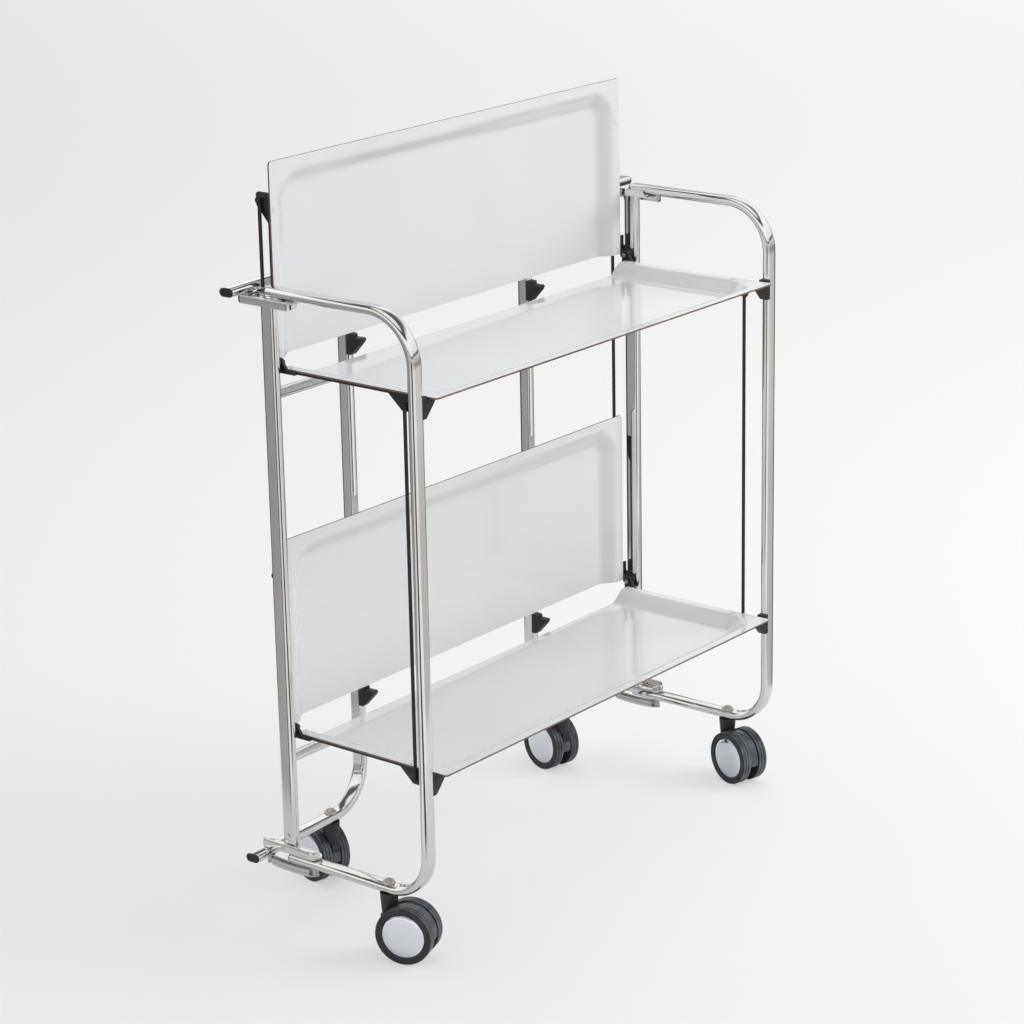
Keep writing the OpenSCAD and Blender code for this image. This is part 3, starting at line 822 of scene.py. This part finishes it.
@dataclass
class TubeFrames(Assembly):
    """The four C-shaped frames of flat oval tube, with the plugs in their tails."""

    table: Table
    tube_w: float = 18.0
    tube_t: float = 10.0
    wall: float = 1.5
    tail: float = 30.7
    reach: float = 165.0
    top_bend: float = 55.0
    bottom_bend: float = 50.0
    bend_steps: int = 20
    guard: float = 2.0
    plug_cap: float = 1.5
    plug_round: float = 0.7
    plug_play: float = 0.15
    mouth_depth: float = 6.0
    mouth_round: float = 0.35

    def section(self, centre: Point, heading: float, trim: float = 0.0) -> list[Vector]:
        """The tube's outline across its path.

        Args:
            centre: X and Z of the middle of the tube.
            heading: direction of the path in the XZ plane, in degrees.
            trim: how far the outline is drawn in all round.

        Returns:
            The loop, in metres.
        """
        side = math.radians(heading + 90)
        points = oval(self.tube_w - 2 * trim, self.tube_t - 2 * trim)
        return [
            Vector((centre[0] + v * math.cos(side), u, centre[1] + v * math.sin(side))) * MM
            for u, v in points
        ]

    def tube(self) -> Work:
        """One frame, from its top tail round both bends to its bottom tail."""
        top, low = self.table.top_rail, self.table.bottom_rail
        upper_x, upper_z = self.reach - self.top_bend, top - self.top_bend
        lower_x, lower_z = self.reach - self.bottom_bend, low + self.bottom_bend
        steps, guard, mouth = self.bend_steps, self.guard, -self.tail
        path = [((mouth, top), 0.0), ((upper_x - guard, top), 0.0)]
        upper = arc((upper_x, upper_z), self.top_bend, 90, 0, steps)
        path += [(spot, -90 * i / steps) for i, spot in enumerate(upper)]
        path += [((self.reach, upper_z - guard), -90.0), ((self.reach, lower_z + guard), -90.0)]
        lower = arc((lower_x, lower_z), self.bottom_bend, 0, -90, steps)
        path += [(spot, -90 - 90 * i / steps) for i, spot in enumerate(lower)]
        path += [((lower_x - guard, low), -180.0), ((mouth, low), -180.0)]
        inside = (mouth + self.mouth_depth, mouth)
        loops = [self.section((along, top), 0, self.wall) for along in inside]
        loops += [self.section(spot, heading) for spot, heading in path]
        loops += [self.section((along, low), -180, self.wall) for along in reversed(inside)]
        return Work.loft("tube", loops).bevel(self.mouth_round, 60.0)

    def plug(self, height: float) -> Work:
        """The black cap over a tail's end.

        Args:
            height: height of the rail.

        Returns:
            The plug.
        """
        mouth, end = -self.tail, -self.tail - self.plug_cap
        edge, play = self.plug_round, self.plug_play
        rows = [(mouth + 5.0, self.wall + 0.1), (mouth - 0.02, self.wall + 0.1), (mouth - 0.02, play)]
        rows += [(end + edge, play), (end + 0.3 * edge, play + 0.3 * edge), (end, play + edge)]
        rows += [(end, 2.4), (end + 0.35, 2.8)]
        loops = [self.section((along, height), 0, trim) for along, trim in rows]
        return Work.loft("plug", loops)

    def build(self) -> None:
        """Make the four frames and their plugs."""
        tube = self.tube()
        plugs = {"top": self.plug(self.table.top_rail), "bottom": self.plug(self.table.bottom_rail)}
        for side in Side:
            for row, place in (("front", self.table.front(side)), ("rear", self.table.rear(side))):
                name = f"{row}_{side.word}"
                body = "centre_frame" if row == "front" else f"{name}_frame"
                bent = tube.copy(f"{name}_tube").place(place)
                self.hand_in(bent, body, Slot.CHROME, [f"{name}_frame"])
                node = "front_tube_plugs" if row == "front" else f"{name}_tube_plugs"
                for which, plug in plugs.items():
                    cap = plug.copy(f"{name}_{which}_plug").place(place)
                    self.hand_in(cap, body, Slot.PLASTIC, [node])
        tube.discard()
        for plug in plugs.values():
            plug.discard()


@dataclass
class CentreFrame(Assembly):
    """Posts, cross rails, pivot brackets and springs; the pivot rivets and hinge pins come with the small
    parts.
    """

    table: Table
    post_depth: float = 20.0
    post_thick: float = 10.0
    post_low: float = 89.5
    post_high: float = 713.5
    hole_z: float = 107.0
    hole_d: float = 3.4
    hole_depth: float = 4.0
    sink: float = 1.0
    rail_d: float = 12.0
    rail_drop: float = 32.5
    spring_d: float = 11.0
    wire_d: float = 1.55
    spring_pitch: float = 1.75
    spring_half: float = 28.4
    spring_sag: float = 1.2
    wire_steps: int = 8
    turn_steps: int = 20
    fillet: float = 1.2

    def posts(self) -> None:
        """The two oval posts, each with a countersunk hole near its foot whose walls are painted black as
        shade.
        """
        outline = [(-v * MM, u * MM) for u, v in oval(self.post_depth, self.post_thick, 12)]
        radius, deep, proud = self.hole_d / 2, -self.hole_depth, 0.3
        bore = [(0, deep), (radius, deep), (radius, -self.sink), (radius + self.sink, proud), (0, proud)]
        for side in Side:
            ends = [level(outline, height * MM) for height in (self.post_low, self.post_high)]
            post = Work.loft(f"{side.word}_post_tube", ends)
            drill = Work.lathe("drill", bore, 24)
            drill.place(at(self.post_thick / 2, 0, self.hole_z) @ turn("Y", 90))
            # The drill is black plastic, so the walls it cuts come out black: painted shade inside the hole.
            self.paints.dress(drill.piece, Slot.PLASTIC)
            self.paints.dress(post.piece, Slot.CHROME)
            post.cut(drill)
            post.place(self.table.home @ at(self.table.post_x * side.value, 0) @ side.flip)
            self.hand_in(post, "centre_frame", Slot.CHROME, [f"{side.word}_post"])

    def cross_rails(self) -> None:
        """The two round rails between the posts, each welded on with a small fillet."""
        half = self.table.post_x - self.post_thick / 2
        radius, weld = self.rail_d / 2, self.fillet
        curve = [(radius + weld, half), (radius + weld / 3, half - weld / 2), (radius, half - 1.5 * weld)]
        profile = [(0, -half), *((r, -h) for r, h in curve), *reversed(curve), (0, half)]
        rail = Work.lathe("rail", profile, 40)
        for name, pin in self.table.tiers.items():
            made = rail.copy(f"{name}_cross_rail").place(
                self.table.home @ at(0, 0, pin - self.rail_drop) @ turn("Y", 90)
            )
            self.hand_in(made, "centre_frame", Slot.CHROME, ["cross_rails"])
        rail.discard()

    def brackets(self) -> None:
        """The four pressed brackets, with rounded edges."""
        for side in Side:
            for row in ("top", "bottom"):
                node = f"{side.word}_{row}_bracket"
                made = Work.node_copy(f"{node}_pressing", node).bevel(0.4)
                self.hand_in(made, "centre_frame", Slot.CHROME, [node])

    def springs(self) -> None:
        """The two springs of close-wound wire, sagging a little between the pivots."""
        turns = int(2 * self.spring_half / self.spring_pitch)
        radius = (self.spring_d - self.wire_d) / 2
        for side in Side:
            node = f"{side.word}_spring"
            low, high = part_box(node)
            section = [
                Vector((radius + x, 0.0, y)) * MM
                for x, y in arc((0, 0), self.wire_d / 2, 0, 360, self.wire_steps)[:-1]
            ]
            coil = Work.ring(f"{side.word}_spring_coil", section)
            bpy.ops.object.mode_set(mode="OBJECT")
            coil.modifier(
                "SCREW",
                axis="Z",
                angle=math.tau,
                screw_offset=self.spring_pitch * MM,
                iterations=turns,
                steps=self.turn_steps,
                render_steps=self.turn_steps,
                use_normal_calculate=True,
                use_merge_vertices=True,
            )
            coil.edit()
            bpy.ops.mesh.select_all(action="DESELECT")
            bpy.ops.mesh.select_non_manifold()
            bpy.ops.mesh.fill_holes(sides=self.wire_steps)
            coil.merge()
            coil.place(at(0, 0, -turns * self.spring_pitch / 2))
            coil.place(turn("X", 90))
            for vertex in coil.piece.data.vertices:
                share = vertex.co.y / (self.spring_half * MM)
                vertex.co.z -= self.spring_sag * MM * (1 - share * share)
            centre = (low + high) / 2
            top = high.z - self.spring_d * MM / 2
            coil.place(Matrix.Translation(Vector((centre.x, centre.y, top))))
            self.hand_in(coil, "centre_frame", Slot.SPRING, [node], 60.0)

    def build(self) -> None:
        """Make the centre frame's pieces."""
        self.posts()
        self.cross_rails()
        self.brackets()
        self.springs()


@dataclass
class TrayHalf(Assembly):
    """One pressed tray half: its sheet, its rivets and its painted end brackets."""

    table: Table
    half_x: float = 303.5
    half_y: float = 213.0
    gap: float = 1.5
    sheet: float = 2.0
    rim: float = 13.0
    step: float = 17.0
    recess: float = 13.5
    corner: float = 4.0
    inner_corner: float = 38.0
    rim_drop: float = 6.5
    soft: float = 6.0
    soft_spread: float = 2.2
    soft_steps: int = 5
    rivet_x: float = 297.8
    rivet_y: tuple[float, float] = (11.0, 162.0)

    def sheet_piece(self) -> Work:
        """The whole pressed tray, cut along the hinge line and given its thickness."""
        slope = math.atan2(self.recess, self.step)
        reach = self.soft * math.tan(slope / 2) * self.soft_spread
        sag = math.tan(slope) * reach
        start, end = self.rim - reach, self.rim + self.step + reach
        rows = [(0.0, 0.0), (start, 0.0)]
        shares = [i / self.soft_steps for i in range(self.soft_steps + 1)]
        rows += [(start + 2 * reach * t, -sag * t * t) for t in shares[1:]]
        rows += [(end - 2 * reach * t, -self.recess + sag * t * t) for t in reversed(shares)]
        loops = []
        for inset, height in rows:
            whole = min(1.0, inset / start)
            radius = self.corner + (self.inner_corner - self.corner) * whole
            radius -= max(0.0, inset - start)
            outline = rounded(self.half_x - inset, self.half_y - inset, radius)
            loops.append([p * MM for p in level(outline, -self.rim_drop + height)])
        tray = Work.loft("tray", loops, closed=False)
        tray.edit()
        bpy.ops.mesh.bisect(
            plane_co=(0.0, -self.gap / 2 * MM, 0.0),
            plane_no=(0.0, 1.0, 0.0),
            clear_outer=True,
            threshold=TOUCH,
        )
        bpy.ops.mesh.select_all(action="SELECT")
        bpy.ops.mesh.normals_make_consistent(inside=False)
        bpy.ops.object.mode_set(mode="OBJECT")
        if max(tray.piece.data.polygons, key=lambda f: f.area).normal.z < 0:
            tray.piece.data.flip_normals()
        self.paints.dress(tray.piece, Slot.LAMINATE)
        tray.piece.data.materials.append(self.paints.edge)
        return tray.modifier(
            "SOLIDIFY", thickness=self.sheet * MM, offset=-1.0, use_even_offset=True, material_offset_rim=1
        )

    def rivet_heads(self) -> Work:
        """The four white rivets of one half, each with a domed head and a set tail."""
        profile = [(0, -5.0), (2.6, -5.0), (2.8, -4.6), (2.8, -4.1), (1.6, -4.0), (1.6, 0), (3.4, 0)]
        profile += [(3.5, 0.2), (3.1, 0.55), (2.2, 0.8), (1.1, 0.88), (0, 0.9)]
        rivet = Work.lathe("rivet", profile, 28)
        copies = [
            rivet.copy("rivet").place(at(side.value * self.rivet_x, -spot, -self.rim_drop))
            for side in Side
            for spot in self.rivet_y
        ]
        rivet.discard()
        return copies[0].join(copies[1:])

    def build(self) -> None:
        """Make both tiers of both halves."""
        pattern, rivets = self.sheet_piece(), self.rivet_heads()
        for tier, pin in self.table.tiers.items():
            for row in ("front", "rear"):
                name = f"{row}_{tier}"
                place = self.table.home @ at(0, 0, pin)
                if row == "rear":
                    place = place @ turn("X", 90) @ MIRROR_Y
                body = f"{name}_tray" if row == "front" else "centre_frame"
                tray = pattern.copy(f"{name}_tray_sheet").place(place)
                self.hand_in(tray, body, Slot.LAMINATE, [f"{name}_tray"], 40.0)
                node = f"{name}_tray_rivets" if row == "front" else "rear_tray_rivets"
                heads = rivets.copy(f"{name}_tray_rivet_set").place(place)
                self.hand_in(heads, body, Slot.WHITE, [node])
                node = f"{name}_end_brackets"
                metal = Work.node_copy(f"{name}_end_bracket_pair", node).bevel(0.3)
                self.hand_in(metal, body, Slot.PAINT, [node])
        pattern.discard()
        rivets.discard()


@dataclass
class TrayRests(Assembly):
    """The black wedges on the legs that the open trays come down on."""

    def build(self) -> None:
        """Round the edges of every wedge."""
        owners = {
            "front_tray_rests": "centre_frame",
            "rear_left_tray_rests": "rear_left_frame",
            "rear_right_tray_rests": "rear_right_frame",
        }
        for node, body in owners.items():
            made = Work.node_copy(f"{node}_moulding", node).bevel(0.45, 35.0)
            self.hand_in(made, body, Slot.PLASTIC, [node])


@dataclass
class Caster(Assembly):
    """One twin-wheel caster. Its swivel axis is Z, and its wheels trail towards -Y."""

    table: Table
    corner: str
    wheel_r: float = 32.5
    wheel_w: float = 12.5
    wheel_in: float = 6.15
    trail: float = 21.7
    hood_r: float = 31.0
    hood_in: float = 2.0
    hood_out: float = 0.3
    tread_slant: float = 0.6
    dome_low: float = 86.0
    dome_r: float = 7.4
    dome_h: float = 5.5

    @property
    def axle(self) -> Matrix:
        """From a lathe's own frame to the axle."""
        return at(0, -self.trail, self.wheel_r) @ turn("Y", 90)

    def tyre(self) -> Work:
        """A tyre with two grooves, rounded shoulders and a raised face ring, its outward faces painted a
        paler slate as sheen.
        """
        r, w = self.wheel_r, self.wheel_w
        profile: list[Point] = [(25.3, 0.0), (r - 1.2, 0.0), (r - 0.4, 0.4), (r, 1.2)]
        for low in (3.6, 7.7):
            profile += [(r, low), (r - 0.15, low + 0.1), (r - 0.9, low + 0.2), (r - 0.9, low + 0.8)]
            profile += [(r - 0.15, low + 0.9), (r, low + 1.0)]
        profile += [(r, w - 1.6), (r - 0.25, w - 0.8), (r - 0.9, w - 0.25), (r - 1.6, w - 0.05)]
        profile += [(r - 2.0, w - 0.3), (r - 2.4, w - 0.35), (26.6, w - 0.2), (25.4, w - 0.4)]
        profile += [(24.6, w - 0.7), (24.4, w - 0.95), (25.3, w - 1.3)]
        tyre = Work.lathe("tyre", profile, 96)
        self.paints.dress(tyre.piece, Slot.RUBBER)
        tyre.piece.data.materials.append(self.paints.tread)
        # Faces that look outwards take the paler tread colour: painted sheen.
        for face in tyre.piece.data.polygons:
            face.material_index = int(abs(face.normal.z) < self.tread_slant)
        return tyre

    def core(self) -> Work:
        """The black wheel body behind the cover."""
        profile = [(3.1, 0.0), (10.0, 0.0), (10.4, 0.8), (22.0, 0.8), (22.4, 0.0), (25.0, 0.0)]
        profile += [(25.1, 0.3), (25.1, 10.9), (24.9, 11.1), (3.1, 11.1)]
        return Work.lathe("core", profile)

    def cover(self) -> Work:
        """The polished cover: a slightly domed disc."""
        w = self.wheel_w
        profile = [(0, w - 1.4), (24.8, w - 1.4), (24.4, w - 1.25), (23.4, w - 0.92), (22.1, w - 0.58)]
        profile += [(20.6, w - 0.3), (19.0, w - 0.14), (16.0, w - 0.05), (10.0, w - 0.01), (0, w)]
        return Work.lathe("cover", profile)

    def housing(self) -> Work:
        """The hood between the wheels, its outer band painted the tread's paler slate as sheen, with its web
        and tapered neck.
        """
        node = f"{self.corner}_caster_housing"
        work = Work.node_copy(f"{node}_moulding", node).bevel(0.5)
        self.paints.dress(work.piece, Slot.MOULDED)
        work.piece.data.materials.append(self.paints.tread)
        back = (self.table.caster(self.corner) @ self.axle).inverted()
        # The band round the hood takes the paler tread colour: painted sheen.
        for face in work.piece.data.polygons:
            spot = back @ face.center
            beyond = math.hypot(spot.x, spot.y) / MM - self.hood_r
            face.material_index = int(-self.hood_in < beyond < self.hood_out)
        return work

    def stem(self) -> Work:
        """The stem with the nickel button on its top."""
        low = self.dome_low
        rise, half = self.dome_h, self.dome_r
        curve = (half * half + rise * rise) / (2 * rise)
        start = math.degrees(math.asin((curve - rise) / curve))
        profile = [(0, 45.8), (3.5, 45.8), (3.5, 75.6), (4.0, 75.7), (4.0, low), (half - 0.9, low)]
        profile += [(half - 0.35, low + 0.02), (half - 0.1, low + 0.2)]
        profile += [(r, low + rise - curve + h) for r, h in arc((0, 0), curve, start + 4, 89.0, 14)]
        profile += [(0, low + rise)]
        return Work.lathe("stem", profile, 48)

    def build(self) -> None:
        """Make the caster's pieces."""
        name = f"{self.corner}_caster"
        place = self.table.caster(self.corner)
        wheels, swivel = f"{name}_wheels", f"{name}_swivel"
        owner = "centre_frame" if self.corner.startswith("front") else f"{self.corner}_frame"
        for work, slot, node in (
            (self.tyre(), Slot.RUBBER, "tyres"),
            (self.core(), Slot.MOULDED, "cores"),
            (self.cover(), Slot.COVER, "covers"),
        ):
            for label, flip in (("near", MIRROR_Z), ("far", Matrix.Identity(4))):
                part = work.copy(f"{name}_{node[:-1]}_{label}")
                part.place(place @ self.axle @ flip @ at(0, 0, self.wheel_in))
                self.hand_in(part, wheels, slot, [f"{name}_{node}"])
            work.discard()
        self.hand_in(self.housing(), swivel, Slot.MOULDED, [f"{name}_housing"])
        stem = self.stem()
        stem.piece.name = f"{name}_stem_button"
        stem.piece.data.materials.append(self.paints.button)
        self.hand_in(stem.place(place), owner, Slot.CHROME, [f"{name}_stem"])


@dataclass
class SmallParts(Assembly):
    """Rivets, pins, link rods and axles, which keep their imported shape."""

    def build(self) -> None:
        """Round the edges of the small metal parts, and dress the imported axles."""
        for node, slot in (("pivot_rivets", Slot.STEEL), ("hinge_pins", Slot.STEEL)):
            made = Work.node_copy(f"{node}_set", node).bevel(0.25)
            if node == "hinge_pins":
                made.piece.data.materials.append(self.paints.pin)
            self.hand_in(made, "centre_frame", slot, [node])
        for node, body in (("front_link_rods", "front_link_rods"), ("rear_link_rods", "centre_frame")):
            made = Work.node_copy(f"{node}_pair", node).bevel(0.2)
            self.hand_in(made, body, Slot.PAINT, [node])
        for corner in CORNERS:
            self.paints.dress(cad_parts[f"{corner}_caster_axle"], Slot.STEEL)


# ---------------------------------------------------------------- studio


@dataclass
class Studio:
    """Floor, lamps, world and the camera at the photograph's viewing angle."""

    table: Table
    focal: float = 3139.052
    image: float = 1024.0
    azimuth: float = -51.077
    elevation: float = 17.518
    roll: float = -1.123
    spot: Vec3 = (-2649.944, -2203.659, 1483.97)
    backdrop: Vec3 = (0.92, 0.92, 0.92)
    ambient: float = 0.60
    floor_glow: float = 0.498
    # Painted light: the floor's glow for the camera grows to the right of the table and behind it.
    glow_right: float = 0.039
    glow_back: float = 0.0145
    glow_range: Point = (0.40, 0.66)
    seen_floor: float = 0.4
    floor_radius: float = 14.0
    near_floor: Vec3 = (0.8, 0.8, 0.8)
    band_start: float = 0.62
    aim_height: float = 0.4
    warmth: Vec3 = (1.0, 0.985, 0.96)
    floor_bands: tuple[Point, ...] = (
        (0.0, 0.45), (0.05, 0.06), (0.20, 0.05), (0.225, 0.45), (0.32, 0.50), (0.335, 0.07), (0.35, 0.07),
        (0.37, 1.0), (0.45, 1.0), (0.47, 0.04), (0.52, 0.04), (0.54, 1.0), (0.66, 0.95), (0.69, 0.52),
        (0.81, 0.50), (0.84, 0.06), (0.95, 0.06), (1.0, 0.45),
    )
    sky_bands: tuple[Point, ...] = (
        (0.0, 0.55), (0.50, 0.55), (0.54, 0.75), (0.56, 0.12), (0.572, 0.12), (0.59, 0.95), (0.66, 1.05),
        (0.78, 1.20), (0.83, 0.14), (0.90, 0.10), (0.93, 1.00), (1.0, 1.10),
    )
    lamps: tuple[tuple[str, Vec3, Point, float], ...] = (
        ("key lamp", (2.2, -2.6, 2.4), (2.4, 1.6), 72.0),
        ("fill lamp", (-2.2, -2.2, 1.8), (1.6, 2.0), 3.0),
        ("top lamp", (0.6, 0.6, 3.0), (2.6, 2.6), 18.0),
    )

    def camera(self) -> None:
        """The camera, placed and turned from its measured angles."""
        data = bpy.data.cameras.new("camera")
        data.sensor_width = 36.0
        data.lens = self.focal * data.sensor_width / self.image
        data.clip_start, data.clip_end = 0.1, 60.0
        camera = bpy.data.objects.new("camera", data)
        bpy.context.scene.collection.objects.link(camera)
        a, e, r = (math.radians(v) for v in (self.azimuth, self.elevation, self.roll))
        back = Vector((math.sin(a) * math.cos(e), -math.cos(a) * math.cos(e), math.sin(e)))
        right = Vector((math.cos(a), math.sin(a), 0.0))
        up = back.cross(right)
        turned = right * math.cos(r) + up * math.sin(r)
        upright = up * math.cos(r) - right * math.sin(r)
        aim = Matrix((turned, upright, back)).transposed().to_4x4()
        camera.matrix_world = self.table.home @ at(*self.spot) @ aim
        bpy.context.scene.camera = camera

    def floor(self) -> None:
        """A wide pale floor that takes the soft shadow; bright metal sees it in bands by heading. For the
        camera it also glows, more to the right of and behind the table: a painted pool of light.
        """
        deselect()
        bpy.ops.mesh.primitive_circle_add(
            vertices=96, radius=self.floor_radius, fill_type="NGON", location=(0, 0, 0)
        )
        floor = bpy.context.object
        floor.name = "studio_floor"
        graph = Graph("studio floor")
        seen = graph.ray("Is Camera Ray")
        mottle = graph.noise(3.0, 2.0)
        plain = graph.blend(mottle, (0.90, 0.90, 0.90), (0.92, 0.92, 0.92))
        turned = {"Vector": graph.place(), "Rotation": (0.0, 0.0, math.radians(90 - self.azimuth))}
        heading = {"Vector": graph.node("ShaderNodeMapping", None, turned)}
        sweep = graph.node("ShaderNodeTexGradient", {"gradient_type": "RADIAL"}, heading, "Fac")
        bands = graph.ramp(sweep, self.floor_bands, self.warmth)
        reach = graph.node("ShaderNodeVectorMath", {"operation": "LENGTH"}, {0: graph.place()}, "Value")
        bands = graph.blend(reach.mask(self.band_start, 0.1), self.near_floor, bands)
        mirrored = graph.blend(graph.ray("Is Glossy Ray"), plain, bands)
        colour = graph.blend(seen, mirrored, (self.seen_floor,) * 3)
        # Painted light: for the camera the floor glows more to the right of the table and behind it, held
        # between two limits.
        a = math.radians(self.azimuth)
        right = self.glow_right * graph.along((math.cos(a), math.sin(a), 0.0))
        back = self.glow_back * graph.along((-math.sin(a), math.cos(a), 0.0))
        painted_floor_light = self.floor_glow + right + back
        least, most = self.glow_range
        painted_floor_light = painted_floor_light.maths("MAXIMUM", painted_floor_light, least)
        painted_floor_light = painted_floor_light.maths("MINIMUM", painted_floor_light, most)
        glow = graph.blend(seen * painted_floor_light, (0.0, 0.0, 0.0), (1.0, 1.0, 1.0))
        finish = graph.shader(
            {
                "Base Color": colour,
                "Roughness": 0.85,
                "Specular IOR Level": 0.2,
                "Emission Color": glow,
                "Emission Strength": 1.0,
            }
        )
        floor.data.materials.append(finish)

    def lamp(self, name: str, spot: Vec3, size: Point, power: float) -> None:
        """One rectangular soft lamp, aimed at the table's middle and left out of mirrored rays.

        Args:
            name: the lamp's name.
            spot: its place, in metres.
            size: its width and height, in metres.
            power: its power, in watts.
        """
        data = bpy.data.lights.new(name, "AREA")
        data.shape = "RECTANGLE"
        data.size, data.size_y = size
        data.energy = power
        lamp = bpy.data.objects.new(name, data)
        lamp.visible_glossy = False
        bpy.context.scene.collection.objects.link(lamp)
        lamp.location = spot
        aim = Vector((0.0, 0.0, self.aim_height)) - Vector(spot)
        lamp.rotation_mode = "QUATERNION"
        lamp.rotation_quaternion = aim.to_track_quat("-Z", "Y")

    def world(self) -> None:
        """A pale world that lights evenly; bright metal sees it in bands by height."""
        graph = Graph("studio", "worlds")
        bpy.context.scene.world = graph.material
        split = graph.node("ShaderNodeSeparateXYZ", None, {0: graph.place()}, "Z")
        bands = graph.ramp(0.5 * split + 0.5, self.sky_bands, self.warmth)
        lit = graph.blend(graph.ray("Is Glossy Ray"), (self.ambient,) * 3, bands)
        seen = graph.blend(graph.ray("Is Camera Ray"), lit, self.backdrop)
        glow = graph.node("ShaderNodeBackground", None, {"Color": seen, "Strength": 1.0})
        end = graph.tree.nodes.new("ShaderNodeOutputWorld")
        graph.tree.links.new(glow.socket, end.inputs["Surface"])

    def build(self) -> None:
        """Set up the studio."""
        self.camera()
        self.floor()
        for lamp in self.lamps:
            self.lamp(*lamp)
        self.world()
        bpy.context.scene.view_settings.view_transform = "Standard"


def main() -> None:
    """Build the studio and every sub-assembly, and note the sizes."""
    logging.basicConfig(level=logging.INFO, format="%(name)s: %(message)s")
    table, paints = Table(), Paintbox()
    Studio(table).build()
    TubeFrames(paints, table).build()
    CentreFrame(paints, table).build()
    TrayHalf(paints, table).build()
    TrayRests(paints).build()
    for corner in CORNERS:
        Caster(paints, table, corner).build()
    SmallParts(paints).build()
    deselect()


if __name__ == "__main__":
    main()
